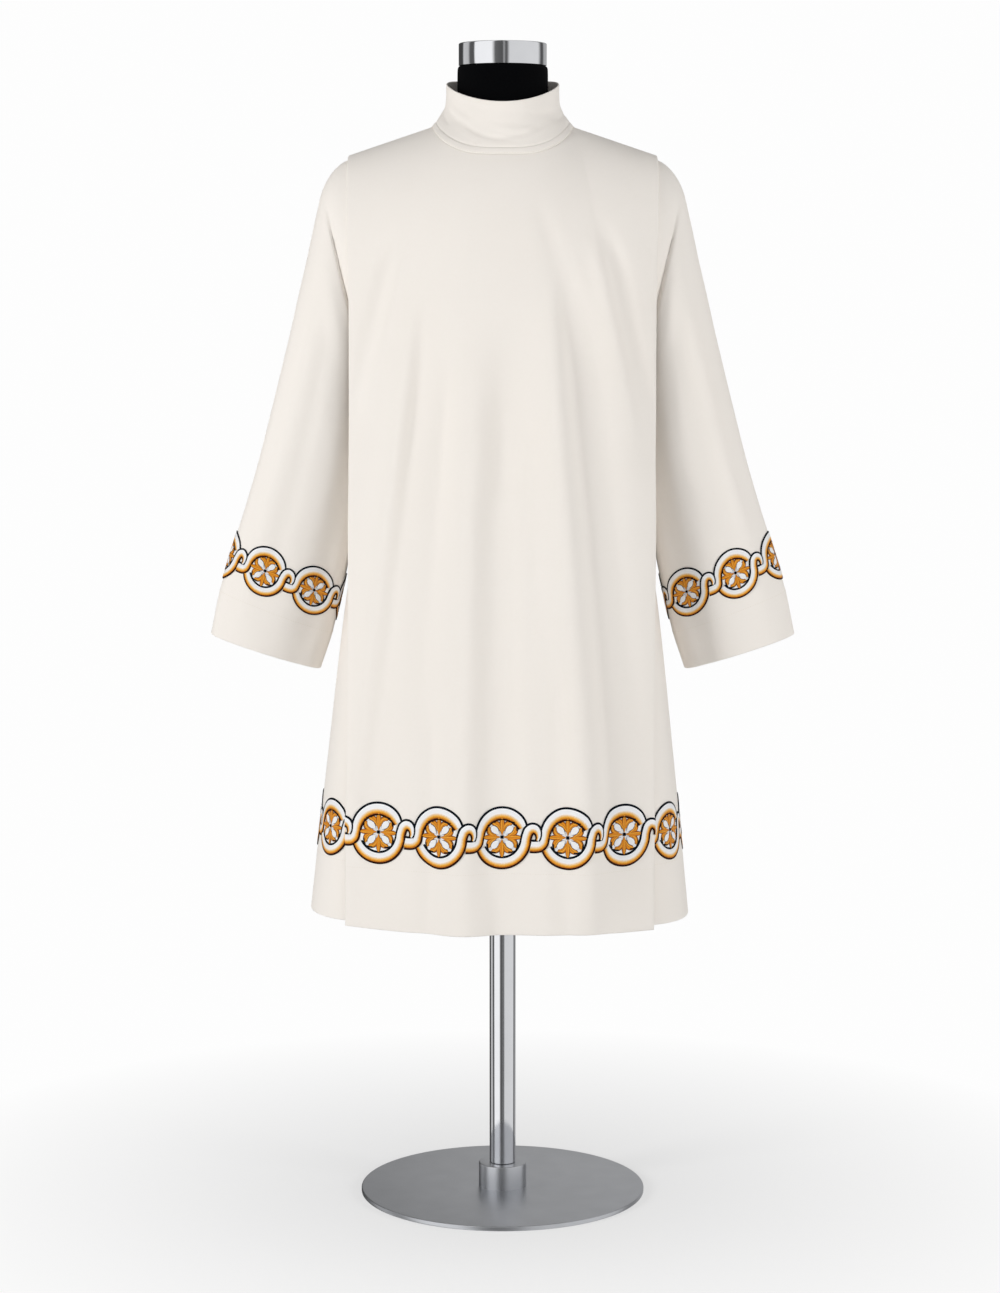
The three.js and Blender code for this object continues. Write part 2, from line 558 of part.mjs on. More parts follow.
// Half heights of a border at a distance from the middle of a roundel, in the border's own size.
function borderHeights(fromMiddle) {
  const ring = BORDER.outer.z * oval(Math.min(1, Math.abs(fromMiddle) / BORDER.outer.x));
  const hole = BORDER.inner.z * oval(Math.min(1, Math.abs(fromMiddle) / BORDER.inner.x));
  return [Math.max(BORDER.link.top, ring), hole, -hole, Math.min(BORDER.link.bottom, -ring)];
}

// Places along a chain of count roundels: where its outline bends, and where the wall has a column.
function borderPlaces(count, columns) {
  const bends = [0, ...BORDER.bends, ...BORDER.bends.map((x) => -x)];
  const whole = count * BORDER.pitch;
  const places = [BORDER.end, whole - BORDER.end];
  for (let i = 0; i < count; i++) bends.forEach((x) => places.push((i + 0.5) * BORDER.pitch + x));
  const inside = (x) => x > BORDER.near && x < whole - BORDER.near;
  const free = (x) => places.every((place) => Math.abs(place - x) > BORDER.near);
  const added = columns.filter((x) => inside(x) && free(x));
  return [...places, ...added].sort((a, b) => a - b);
}

// A border on the strip of a wall, made of the wall's own outer points moved out. height is the middle
// of the border above the edge of the cloth, and start is where it begins along the strip.
function border(wall, { height, count, start = 0 }) {
  const { grid, around = false, facing, strip } = wall;
  const normals = gridNormals(grid, around);
  const columns = grid[0].length;
  const skin = (j, i) => grid[j][i].clone().addScaledVector(normals[j][i], (facing * CLOTH) / 2);
  const cells = [];
  let length = 0;
  for (let i = strip.columns[0]; i < strip.columns[1]; i++) {
    const [left, right] = [i % columns, (i + 1) % columns];
    const [a, b] = [skin(strip.row, left), skin(strip.row + 1, left)];
    const [d, c] = [skin(strip.row, right), skin(strip.row + 1, right)];
    const width = a.clone().add(b).distanceTo(d.clone().add(c)) / 2;
    cells.push({ a, b, c, d, from: length, width, left, right });
    length += width;
  }
  const scale = length / count / BORDER.pitch;
  const [top, bottom] = strip.heights;
  const onCloth = (x, y, lift) => {
    const along = (x * scale + start * length) % length;
    const cell = cells.find((c) => along <= c.from + c.width) ?? cells[cells.length - 1];
    const f = (along - cell.from) / cell.width;
    const v = (top - height - y * scale) / (top - bottom);
    const { a, b, c, d } = cell;
    const [corner, one, two] = f < v ? [b, c, a] : [d, c, a];
    const [toOne, toTwo] = f < v ? [f, 1 - v] : [v, 1 - f];
    const [before, after] = [normals[strip.row][cell.left], normals[strip.row][cell.right]];
    const normal = before.clone().lerp(after, f).normalize();
    return new THREE.Vector3()
      .addScaledVector(corner, 1 - toOne - toTwo)
      .addScaledVector(one, toOne)
      .addScaledVector(two, toTwo)
      .addScaledVector(normal, facing * lift);
  };
  const fromStart = (cell) => (cell.from - start * length + length) % length;
  const wallColumns = cells.map((cell) => fromStart(cell) / scale);
  const places = borderPlaces(count, wallColumns);
  const [outer, inner, faces] = [[], [], []];
  const index = places.map((x) => {
    const fromMiddle = (x % BORDER.pitch) - BORDER.pitch / 2;
    const heights = borderHeights(fromMiddle);
    const open = heights[1] > BORDER.shut;
    const own = open ? heights : [heights[0], 0, heights[3]];
    const first = outer.length;
    own.forEach((y) => {
      outer.push(onCloth(x, y, BORDER.lift + BORDER.thickness));
      inner.push(onCloth(x, y, BORDER.lift));
    });
    return open ? [first, first + 1, first + 2, first + 3] : [first, first + 1, first + 1, first + 2];
  });
  for (let k = 0; k < places.length - 1; k++) {
    const [left, right] = [index[k], index[k + 1]];
    for (const row of [0, 2]) {
      faces.push([left[row], left[row + 1], right[row + 1]], [left[row], right[row + 1], right[row]]);
    }
  }
  return closedShell(outer, inner, faces);
}

// Dress form and stand

function formTorso() {
  const rings = FORM.map(({ z, w, d, round }) => {
    const ring = [];
    for (let i = 0; i < FORM_COLUMNS; i++) {
      const angle = (2 * Math.PI * i) / FORM_COLUMNS;
      const power = (value) => Math.sign(value) * Math.abs(value) ** (2 / round);
      ring.push(new THREE.Vector3(w * power(Math.cos(angle)), d * power(Math.sin(angle)), z));
    }
    return ring;
  });
  return loft(rings);
}

function neckCap() {
  const bottom = FORM[FORM.length - 1].z + SEAM_GAP;
  const top = bottom + NECK_CAP.height;
  const { radius, edge } = NECK_CAP;
  const corner = edge * NECK_CAP.corner;
  const profile = [
    [0, bottom],
    [radius, bottom],
    [radius, top - edge],
    [radius - corner, top - corner],
    [radius - edge, top],
    [0, top],
  ];
  return turned(profile, TURNED_SEGMENTS.cap);
}

function standBase() {
  const { radius, thickness, edge, bossRadius, bossHeight } = BASE;
  const profile = [
    [0, 0],
    [radius - edge, 0],
    [radius, edge],
    [radius, thickness - edge],
    [radius - edge, thickness],
    [bossRadius, thickness],
    [bossRadius, bossHeight - edge],
    [bossRadius - edge, bossHeight],
    [0, bossHeight],
  ];
  return turned(profile, TURNED_SEGMENTS.base);
}

function standPole() {
  const bottom = BASE.bossHeight + SEAM_GAP;
  const top = FORM[0].z - SEAM_GAP;
  const profile = [
    [0, bottom],
    [POLE_RADIUS, bottom],
    [POLE_RADIUS, top],
    [0, top],
  ];
  return turned(profile, TURNED_SEGMENTS.pole);
}

// The model
const cream = new THREE.MeshStandardMaterial({ color: "#efe8dd", roughness: 0.85, metalness: 0 });
const gold = new THREE.MeshStandardMaterial({ color: "#d9a24a", roughness: 0.6, metalness: 0 });
const black = new THREE.MeshStandardMaterial({ color: "#0c0d10", roughness: 0.9, metalness: 0 });
const chrome = new THREE.MeshStandardMaterial({ color: "#d9dadd", roughness: 0.12, metalness: 1 });
const steel = new THREE.MeshStandardMaterial({ color: "#c3c5c9", roughness: 0.35, metalness: 1 });

const surplice = new THREE.Group();
function add(name, geometry, material) {
  const mesh = new THREE.Mesh(geometry, material);
  mesh.name = name;
  surplice.add(mesh);
}

const panels = { front: bodyPanel("front", FRONT_FOLDS), back: bodyPanel("back", BACK_FOLDS) };
add("front_panel", clothWall(panels.front), cream);
add("back_panel", cut(clothWall(panels.back), slitTool()), cream);
const { panelRoundels, sideRoundels } = HEM_BORDER;
for (const [name, wall] of Object.entries(panels)) {
  const size = { height: HEM_BORDER.height, count: panelRoundels };
  add(`hem_border_${name}`, border(wall, size), gold);
}
for (const [name, hand] of [["left", -1], ["right", 1]]) {
  const side = sidePanel(hand);
  const hemSize = { height: HEM_BORDER.height, count: sideRoundels };
  add(`side_panel_${name}`, clothWall(side), cream);
  add(`hem_border_${name}`, border(side, hemSize), gold);
  const arm = sleeve(hand);
  const count = CUFF_BORDER.roundels;
  const cuffSize = { height: CUFF_BORDER.height, count, start: 0.5 / count };
  add(`sleeve_${name}`, clothWall(arm), cream);
  add(`cuff_border_${name}`, border(arm, cuffSize), gold);
}
add("collar", cut(clothWall(collar(panels)), slitTool()), cream);
add("form_torso", formTorso(), black);
add("form_neck_cap", neckCap(), chrome);
add("stand_pole", standPole(), chrome);
add("stand_base", standBase(), steel);

export default surplice;
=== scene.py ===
# %% [markdown]
# A cream surplice hangs on a limbless dress form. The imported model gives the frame: plain walls of
# cloth, a raised band where the embroidery goes, and the form on its stand. This lesson lays finer
# cloth on those walls, sews and embroiders it, covers the form and polishes the metal.
# Everything is in metres, the front faces -Y, and the floor is at height 0.

# %% Load the frame
import math

import bpy
import numpy as np
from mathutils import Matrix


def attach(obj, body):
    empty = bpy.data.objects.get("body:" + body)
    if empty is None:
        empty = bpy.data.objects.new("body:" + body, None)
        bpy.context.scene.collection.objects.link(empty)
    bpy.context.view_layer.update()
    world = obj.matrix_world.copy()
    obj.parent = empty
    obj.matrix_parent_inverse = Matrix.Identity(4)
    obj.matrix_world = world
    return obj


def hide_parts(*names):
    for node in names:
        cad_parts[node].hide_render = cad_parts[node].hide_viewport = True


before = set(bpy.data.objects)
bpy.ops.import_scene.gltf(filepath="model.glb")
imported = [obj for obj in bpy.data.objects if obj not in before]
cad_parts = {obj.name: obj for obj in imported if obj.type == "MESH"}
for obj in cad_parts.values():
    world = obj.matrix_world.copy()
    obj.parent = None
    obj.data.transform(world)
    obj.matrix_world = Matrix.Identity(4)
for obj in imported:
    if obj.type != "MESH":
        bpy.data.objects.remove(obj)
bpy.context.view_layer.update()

print("nodes in the frame:", len(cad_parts))

# %% [markdown]
# The photograph was taken from about 4 m away at chest height, with a portrait lens. The camera looks
# down a little. It comes first, because every later choice is judged through it.

# %% Camera
CAMERA_PLACE = (-0.0035, -4.0, 1.2)
CAMERA_TILT = 6.609  # degrees below the horizon
LENS, SENSOR = 84.8, 36  # mm, the sensor on its long side
VIEW_LIMIT = 200


def add_object(name, data):
    thing = bpy.data.objects.new(name, data)
    bpy.context.collection.objects.link(thing)
    return thing


camera_data = bpy.data.cameras.new("camera")
camera_data.lens, camera_data.sensor_width = LENS, SENSOR
camera_data.clip_end = VIEW_LIMIT
camera = add_object("camera", camera_data)
camera.location = CAMERA_PLACE
camera.rotation_euler = (math.radians(90 - CAMERA_TILT), 0, 0)
bpy.context.scene.camera = camera
print("camera at", CAMERA_PLACE, "with a lens of", LENS, "mm")

# %% [markdown]
# Node materials are easier to read when a helper adds a node, sets its inputs and makes its links in
# one call. A value that is a socket becomes a link, and any other value is set on the input.

# %% Helpers for materials
def feed(tree, socket, value):
    """Links an output to a socket, or sets the socket to a plain value."""
    if isinstance(value, bpy.types.NodeSocket):
        tree.links.new(value, socket)
    else:
        socket.default_value = value


def add_node(tree, kind, inputs=None, **settings):
    node = tree.nodes.new(kind)
    for name, value in settings.items():
        setattr(node, name, value)
    for name, value in (inputs or {}).items():
        feed(tree, node.inputs[name], value)
    return node


def compute(tree, operation, *values):
    node = add_node(tree, "ShaderNodeMath", operation=operation)
    for socket, value in zip(node.inputs, values):
        feed(tree, socket, value)
    return node.outputs[0]


def noise(tree, place, scale, detail):
    inputs = {"Vector": place, "Scale": scale, "Detail": detail}
    return add_node(tree, "ShaderNodeTexNoise", inputs).outputs["Fac"]


def object_place(tree):
    return add_node(tree, "ShaderNodeTexCoord").outputs["Object"]


def ramp(tree, factor, stops):
    node = add_node(tree, "ShaderNodeValToRGB", {"Fac": factor})
    elements = node.color_ramp.elements
    while len(elements) < len(stops):
        elements.new(0.5)
    for element, (place, colour) in zip(elements, stops):
        element.position = place
        element.color = (*colour, 1)
    return node.outputs["Color"]


def blend(tree, factor, first, second):
    node = add_node(tree, "ShaderNodeMix", data_type="RGBA")
    for name, value in (("Factor", factor), ("A", first), ("B", second)):
        socket = next(s for s in node.inputs if s.name == name and s.enabled)
        feed(tree, socket, (*value, 1) if isinstance(value, tuple) else value)
    return next(s for s in node.outputs if s.enabled)


def new_material(name):
    material = bpy.data.materials.new(name)
    material.use_nodes = True
    tree = material.node_tree
    tree.nodes.clear()
    shader = add_node(tree, "ShaderNodeBsdfPrincipled")
    add_node(tree, "ShaderNodeOutputMaterial", {"Surface": shader.outputs[0]})
    return material, tree, shader


def finish(tree, shader, relief, depth, inputs):
    """Gives the shader its inputs and a fine relief."""
    bump = add_node(tree, "ShaderNodeBump", {"Height": relief, "Distance": depth})
    for name, value in {**inputs, "Normal": bump.outputs[0]}.items():
        feed(tree, shader.inputs[name], value)


def linear(red, green, blue):
    """Turns a colour from 0 to 255, as on a paint chart, into the linear values of a shader."""
    return tuple(((c / 255 + 0.055) / 1.055) ** 2.4 for c in (red, green, blue))


print("material helpers are ready")

# %% [markdown]
# Woven cloth and stitched thread both show fine parallel lines. Two groups draw them: one gives the
# height and shade of a twill weave, the other the rows of thread in satin stitch. Both read a
# piece's own UV map, which is in metres, so the threads keep their real size on every piece.

# %% Shared effects
def new_group(name, *numbers):
    """A group that reads a place and some numbers, and gives a height and a shade."""
    group = bpy.data.node_groups.new(name, "ShaderNodeTree")
    new_socket = group.interface.new_socket
    new_socket("Vector", in_out="INPUT", socket_type="NodeSocketVector")
    for label in numbers:
        new_socket(label, in_out="INPUT", socket_type="NodeSocketFloat")
    for label in ("Height", "Shade"):
        new_socket(label, in_out="OUTPUT", socket_type="NodeSocketFloat")
    given = add_node(group, "NodeGroupInput").outputs
    place = add_node(group, "ShaderNodeSeparateXYZ", {"Vector": given["Vector"]}).outputs
    per_metre = compute(group, "MULTIPLY", given["Threads per metre"], 2 * math.pi)
    return group, given, place, per_metre


def twill_group():
    """Diagonal ribs of a fine twill, crossed by its weft, with a drift in thread thickness."""
    group, given, place, per_metre = new_group("twill_weave", "Threads per metre")
    warp = compute(group, "MULTIPLY", place["X"], per_metre)
    weft = compute(group, "MULTIPLY", place["Y"], per_metre)
    rib = compute(group, "SINE", compute(group, "ADD", warp, weft))
    crossing = compute(group, "SINE", compute(group, "SUBTRACT", warp, weft))
    mixed = compute(group, "MULTIPLY_ADD", crossing, 0.35, rib)
    slub = noise(group, given["Vector"], 260.0, 2.0)
    height = compute(group, "MULTIPLY_ADD", slub, 0.8, mixed)
    add_node(group, "NodeGroupOutput", {"Height": height, "Shade": slub})
    return group


def satin_group():
    """Rows of thread laid side by side across a motif, each a little uneven."""
    group, given, place, per_metre = new_group("satin_stitch", "Threads per metre", "Slant")
    slanted = compute(group, "MULTIPLY_ADD", place["Y"], given["Slant"], place["X"])
    drift = noise(group, given["Vector"], 400.0, 1.0)
    turns = compute(group, "MULTIPLY", slanted, per_metre)
    wave = compute(group, "SINE", compute(group, "MULTIPLY_ADD", drift, 3.0, turns))
    # The shade is lowest between the rows; the thread finish uses it for painted shade in those grooves.
    shade = compute(group, "MULTIPLY_ADD", wave, 0.5, 0.5)
    add_node(group, "NodeGroupOutput", {"Height": wave, "Shade": shade})
    return group


TWILL = twill_group()
SATIN = satin_group()
print("node groups:", TWILL.name, SATIN.name)

# %% [markdown]
# The cloth is a smooth cream wool blend, matt, with a soft bloom at grazing angles. Large patches
# differ a little in warmth, and the weave only shows close up, so its bump is a few hundredths of a
# millimetre deep.

# %% Cream cloth
CREAM = linear(245, 240, 234)
CREAM_WARM = linear(242, 235, 226)
CREAM_SHADE = linear(230, 221, 208)
WEAVE_PER_METRE, WEAVE_DEPTH = 1500.0, 0.00003


def cream_cloth():
    material, tree, shader = new_material("cream_cloth")
    uv = add_node(tree, "ShaderNodeUVMap", uv_map="cloth").outputs["UV"]
    inputs = {"Vector": uv, "Threads per metre": WEAVE_PER_METRE}
    weave = add_node(tree, "ShaderNodeGroup", inputs, node_tree=TWILL).outputs
    warmth = compute(tree, "MULTIPLY", noise(tree, object_place(tree), 5.0, 3.0), 0.5)
    ground = blend(tree, warmth, CREAM, CREAM_WARM)
    threads = compute(tree, "MULTIPLY", weave["Shade"], 0.12)
    finish(tree, shader, weave["Height"], WEAVE_DEPTH, {
        "Base Color": blend(tree, threads, ground, CREAM_SHADE),
        "Roughness": compute(tree, "MULTIPLY_ADD", weave["Shade"], 0.1, 0.8),
        "Sheen Weight": 0.12, "Sheen Roughness": 0.5, "Specular IOR Level": 0.25,
    })
    return material


CLOTH_FINISH = cream_cloth()
print("material:", CLOTH_FINISH.name)

# %% [markdown]
# Embroidery thread is glossier than the cloth and lies in rows. A motif carries an attribute named
# across, from 0 on its left edge to 1 on its right, and a colour ramp over it gives the change of
# thread from white through orange to brown.

# %% Embroidery threads
WHITE_THREAD = linear(251, 251, 252)
PEACH_THREAD = linear(247, 214, 166)
GOLD_LIGHT = linear(250, 184, 62)
GOLD_THREAD = linear(232, 144, 22)
GOLD_DEEP = linear(172, 92, 14)
BROWN_THREAD = linear(42, 20, 8)
NAVY_THREAD = linear(8, 16, 26)
THREADS_PER_METRE, THREAD_DEPTH = 2200.0, 0.00006
RAGGED = 0.16  # how far the threads' ends wander, as a share of a strip's width


def thread_finish(name, stops, slant=0.0, shine=0.4):
    material, tree, shader = new_material(name)
    uv = add_node(tree, "ShaderNodeUVMap", uv_map="thread").outputs["UV"]
    inputs = {"Vector": uv, "Threads per metre": THREADS_PER_METRE, "Slant": slant}
    rows = add_node(tree, "ShaderNodeGroup", inputs, node_tree=SATIN).outputs
    across = add_node(tree, "ShaderNodeAttribute", attribute_name="across").outputs["Fac"]
    ragged = compute(tree, "MULTIPLY_ADD", noise(tree, uv, 600.0, 2.0), RAGGED, across)
    colour = ramp(tree, compute(tree, "SUBTRACT", ragged, RAGGED / 2), stops)
    # Painted shade: the grooves between the rows of thread are coloured a little darker, on the same wave
    # as the bump.
    painted_groove_shade = compute(tree, "MULTIPLY", rows["Shade"], 0.03)
    groove_shade_colour = tuple(0.25 * c for c in stops[-1][1])
    finish(tree, shader, rows["Height"], THREAD_DEPTH, {
        "Base Color": blend(tree, painted_groove_shade, colour, groove_shade_colour),
        "Roughness": 0.45, "Specular IOR Level": shine,
    })
    return material


def plain(colour):
    return [(0.0, colour), (1.0, colour)]


BAND_STOPS = [
    (0.0, WHITE_THREAD), (0.46, WHITE_THREAD), (0.6, PEACH_THREAD), (0.72, GOLD_LIGHT),
    (0.81, GOLD_THREAD), (0.9, GOLD_DEEP), (0.97, BROWN_THREAD),
]
LEAF_STOPS = [
    (0.0, BROWN_THREAD), (0.07, BROWN_THREAD), (0.14, GOLD_DEEP), (0.28, GOLD_THREAD),
    (0.44, GOLD_LIGHT), (0.51, GOLD_DEEP), (0.58, GOLD_THREAD), (0.8, GOLD_THREAD),
    (0.9, GOLD_DEEP), (1.0, BROWN_THREAD),
]
PETAL_STOPS = [
    (0.0, NAVY_THREAD), (0.08, NAVY_THREAD), (0.14, WHITE_THREAD),
    (0.86, WHITE_THREAD), (0.92, NAVY_THREAD), (1.0, NAVY_THREAD),
]
MATT = 0.08
THREADS = {  # a slant for the rows of thread, and a shine where it isn't the usual one
    "band": thread_finish("band_thread", BAND_STOPS, 0.3),
    "leaf": thread_finish("leaf_thread", LEAF_STOPS, 0.6),
    "petal": thread_finish("petal_thread", PETAL_STOPS, 0.5),
    "navy": thread_finish("navy_thread", plain(NAVY_THREAD), 1.0, MATT),
    "brown": thread_finish("brown_thread", plain(BROWN_THREAD), 1.0, MATT),
    "ground": thread_finish("ground_thread", plain(WHITE_THREAD)),
}
KINDS = list(THREADS)
print("thread materials:", KINDS)

# %% [markdown]
# The dress form has three finishes: a black jersey cover, a chromed cap and pole, and a brushed steel
# base. The jersey is nearly black with a fine rib. The base is brushed in circles, so its roughness
# and bump follow the distance from the middle.

# %% Finishes of the form
JERSEY_STOPS = [(0.35, (0.0005, 0.0006, 0.0009)), (0.75, (0.0022, 0.0023, 0.0027))]
BRUSH_LINES = 1800.0


def black_jersey():
    material, tree, shader = new_material("black_jersey")
    place = object_place(tree)
    inputs = {"Vector": place, "Scale": 240.0, "Distortion": 0.6, "Detail": 1.0}
    settings = {"wave_type": "RINGS", "rings_direction": "Z"}
    ribs = add_node(tree, "ShaderNodeTexWave", inputs, **settings).outputs["Fac"]
    lint = noise(tree, place, 900.0, 3.0)
    finish(tree, shader, ribs, 0.00008, {
        "Base Color": ramp(tree, lint, JERSEY_STOPS),
        "Roughness": compute(tree, "MULTIPLY_ADD", lint, 0.2, 0.75),
        "Specular IOR Level": 0.06,
    })
    return material


def bright_metal(name, tint, smooth, brushed):
    material, tree, shader = new_material(name)
    place = object_place(tree)
    flat = add_node(tree, "ShaderNodeVectorMath", {0: place, 1: (1, 1, 0)}, operation="MULTIPLY")
    away = add_node(tree, "ShaderNodeVectorMath", {0: flat.outputs[0]}, operation="LENGTH")
    height = add_node(tree, "ShaderNodeSeparateXYZ", {"Vector": place}).outputs["Z"]
    line = compute(tree, "ADD", away.outputs["Value"], height)
    inputs = {"W": compute(tree, "MULTIPLY", line, BRUSH_LINES), "Detail": 4.0, "Scale": 1.0}
    scratched = add_node(tree, "ShaderNodeTexNoise", inputs, noise_dimensions="1D")
    scratches = scratched.outputs["Fac"]
    smears = noise(tree, place, 30.0, 3.0)
    wear = compute(tree, "MULTIPLY_ADD", scratches, brushed, smooth)
    finish(tree, shader, scratches, 0.00001, {
        "Base Color": blend(tree, smears, tint, tuple(0.9 * c for c in tint)),
        "Roughness": compute(tree, "MULTIPLY_ADD", smears, 0.06, wear),
        "Metallic": 1.0,
    })
    return material


JERSEY = black_jersey()
CHROME = bright_metal("polished_chrome", linear(232, 233, 236), 0.03, 0.04)
STEEL = bright_metal("brushed_steel", linear(205, 207, 211), 0.22, 0.2)
print("materials:", JERSEY.name, CHROME.name, STEEL.name)

# %% [markdown]
# Cloth is drawn as a grid of points from a few sections, like the rows of a cutting table. These
# helpers read such a table at any height on a smooth curve, and shape soft changes. Lengths are in
# millimetres here, as a cutter writes them, and become metres when a mesh is made.

# %% Helpers for tables and soft shapes
MM = 0.001


def ease(share):
    share = np.clip(share, 0, 1)
    return share * share * (3 - 2 * share)


def bell(share):
    return np.exp(-share * share)


def oval(share):
    return np.sqrt(np.clip(1 - share * share, 0, None))


def smooth_curve(knots, values, where):
    """The value at where on a smooth curve through values at rising knots."""
    knots, values = np.asarray(knots, float), np.asarray(values, float)
    where = np.clip(where, knots[0], knots[-1])
    before = np.maximum(np.arange(len(knots)) - 1, 0)
    after = np.minimum(np.arange(len(knots)) + 1, len(knots) - 1)
    slopes = (values[after] - values[before]) / (knots[after] - knots[before])
    k = np.clip(np.searchsorted(knots, where, side="right") - 1, 0, len(knots) - 2)
    span = knots[k + 1] - knots[k]
    t = (where - knots[k]) / span
    start = (2 * t**3 - 3 * t**2 + 1) * values[k] + (t**3 - 2 * t**2 + t) * span * slopes[k]
    end = (3 * t**2 - 2 * t**3) * values[k + 1] + (t**3 - t**2) * span * slopes[k + 1]
    return start + end


def section(table, z, column):
    """A column of a table whose rows run from the top down, at height z."""
    rows = table[::-1]
    return smooth_curve([row["z"] for row in rows], [row[column] for row in rows], z)


print("a smooth curve through 0, 1, 4 at 1.5:", smooth_curve([0, 1, 2], [0, 1, 4], 1.5))

# %% [markdown]
# A grid becomes a mesh with shared points. Its surface directions point out of the garment, and the
# grid keeps what is needed to lay things on it later: how far each row is above the hem, and how far
# each column is along it. Thread, turnings and stitches are all laid through one function.

# %% Helpers for cloth
def xyz(x, y, z):
    return np.stack(np.broadcast_arrays(x, y, z), axis=-1)


def unit(vectors):
    return vectors / np.maximum(np.linalg.norm(vectors, axis=-1, keepdims=True), 1e-9)


def towards(vectors, hint):
    """Turns each vector round that looks against its hint."""
    against = np.sum(vectors * hint, axis=-1, keepdims=True) < 0
    return np.where(against, -vectors, vectors)


def travelled(line):
    """Distance along a line of points, from its first point."""
    return np.concatenate([[0], np.cumsum(np.linalg.norm(np.diff(line, axis=0), axis=1))])


def grid_normals(points, hint, around=False):
    """Outward unit normals of a grid. hint is a rough outward direction for each point."""
    if around:
        across = np.roll(points, -1, axis=1) - np.roll(points, 1, axis=1)
    else:
        across = np.gradient(points, axis=1)
    return towards(unit(np.cross(np.gradient(points, axis=0), across)), hint)


def grid_faces(rows, columns, first=0, around=False):
    steps = np.arange(columns if around else columns - 1)
    j, i = np.meshgrid(np.arange(rows - 1), steps, indexing="ij")
    here, below, following = j * columns, (j + 1) * columns, (i + 1) % columns
    corners = [here + i, below + i, below + following, here + following]
    return np.stack([c.ravel() for c in corners], axis=1) + first


def face_outwards(points, faces, directions):
    """Turns all faces round together if they look against their first corners' directions."""
    a, b, c = (points[faces[:, k]] for k in range(3))
    agree = np.sum(np.cross(b - a, c - a) * directions[faces[:, 0]])
    return faces if agree > 0 else faces[:, ::-1]


def make_mesh(name, points, faces, materials, uv_name=None, uv=None, kinds=None, across=None):
    """A smooth mesh object from points in millimetres, with its UV map in metres."""
    mesh = bpy.data.meshes.new(name)
    mesh.from_pydata((points * MM).tolist(), [], faces)
    if uv_name:
        layer = mesh.uv_layers.new(name=uv_name)
        corner = np.zeros(len(mesh.loops), np.int32)
        mesh.loops.foreach_get("vertex_index", corner)
        layer.data.foreach_set("uv", uv[corner].astype(np.float32).ravel())
    for material in materials:
        mesh.materials.append(material)
    if kinds is not None:
        mesh.polygons.foreach_set("material_index", kinds.astype(np.int32))
        attribute = mesh.attributes.new("across", "FLOAT", "POINT")
        attribute.data.foreach_set("value", across.astype(np.float32))
    mesh.polygons.foreach_set("use_smooth", np.ones(len(mesh.polygons), bool))
    mesh.update()
    return add_object(name, mesh)


def lay(cloth, along, above, lift):
    """Points on a cloth, at a distance along it, a height above its edge and a lift off its surface."""
    rows, columns = cloth["points"].shape[:2]
    if cloth["around"]:
        along = np.mod(along, cloth["length"])
    column = np.interp(along, cloth["along"], np.arange(len(cloth["along"])))
    row = np.interp(above, cloth["above"][::-1], np.arange(rows)[::-1])
    i0 = np.clip(column.astype(int), 0, len(cloth["along"]) - 2)
    j0 = np.clip(row.astype(int), 0, rows - 2)
    i1, u, v = (i0 + 1) % columns, (column - i0)[..., None], (row - j0)[..., None]

    def between(grid):
        upper = grid[j0, i0] * (1 - u) + grid[j0, i1] * u
        lower = grid[j0 + 1, i0] * (1 - u) + grid[j0 + 1, i1] * u
        return upper * (1 - v) + lower * v

    return between(cloth["points"]) + unit(between(cloth["normals"])) * np.asarray(lift)[..., None]


print("cloth helpers are ready")

# %% [markdown]
# The body is cut from a few sections: how far the panel stands from the middle plane at its centre
# and at its pleat edge, where that edge lies, and how the pressed pleat turns back. The folds hang
# from the chest. The creases are finer, and only change how the light falls on the cloth.

# %% Sizes of the body
CLOTH = 1.5  # one layer in the frame's solids
SHEET = 1.0  # the cloth itself
SEAM_GAP = 0.4
HEM_HEIGHT = 385
CHEST_HEIGHT = 1190
HEM_TURNING = 82
CUFF_TURNING = 62
SHOULDER_TIP = (200, 1377)
SHOULDER_SLOPE = math.tan(math.radians(18.6))
NECK_HALF_WIDTH = 90
NECK_SIDE_HEIGHT = SHOULDER_TIP[1] + (SHOULDER_TIP[0] - NECK_HALF_WIDTH) * SHOULDER_SLOPE
NECKLINE_DEPTH = {"front": 77, "back": 64}
NECKLINE_ROUND = 2.7
SHOULDER_ROUND = {"front": 2, "back": 2.5}
PLEAT_FULLNESS = 2.4
SWING_ASIDE, SWING_DROP = 4, 3
SLIT_HALF_WIDTH, SLIT_BOTTOM = 0.5, 1200
FOLD_EASE = 170
CREASE_EASE = 70

BODY_COLUMNS = ("z", "centre", "edge", "pleat", "turn", "lap", "open", "side")
BODY_ROWS = [
    (1377, 124, 80, 200, 1.3, 12, 0, 166),
    (1190, 124, 80, 197, 1.5, 36, 0, 166),
    (1000, 136, 91, 197, 1.8, 36, 6, 174),
    (900, 143, 97, 198, 1.9, 36, 10, 187),
    (800, 150, 104, 198, 2.0, 36, 15, 205),
    (600, 164, 116, 199, 2.1, 36, 25, 229),
    (385, 178, 128, 200, 2.2, 36, 35, 252),
]
BODY = [dict(zip(BODY_COLUMNS, row)) for row in BODY_ROWS]

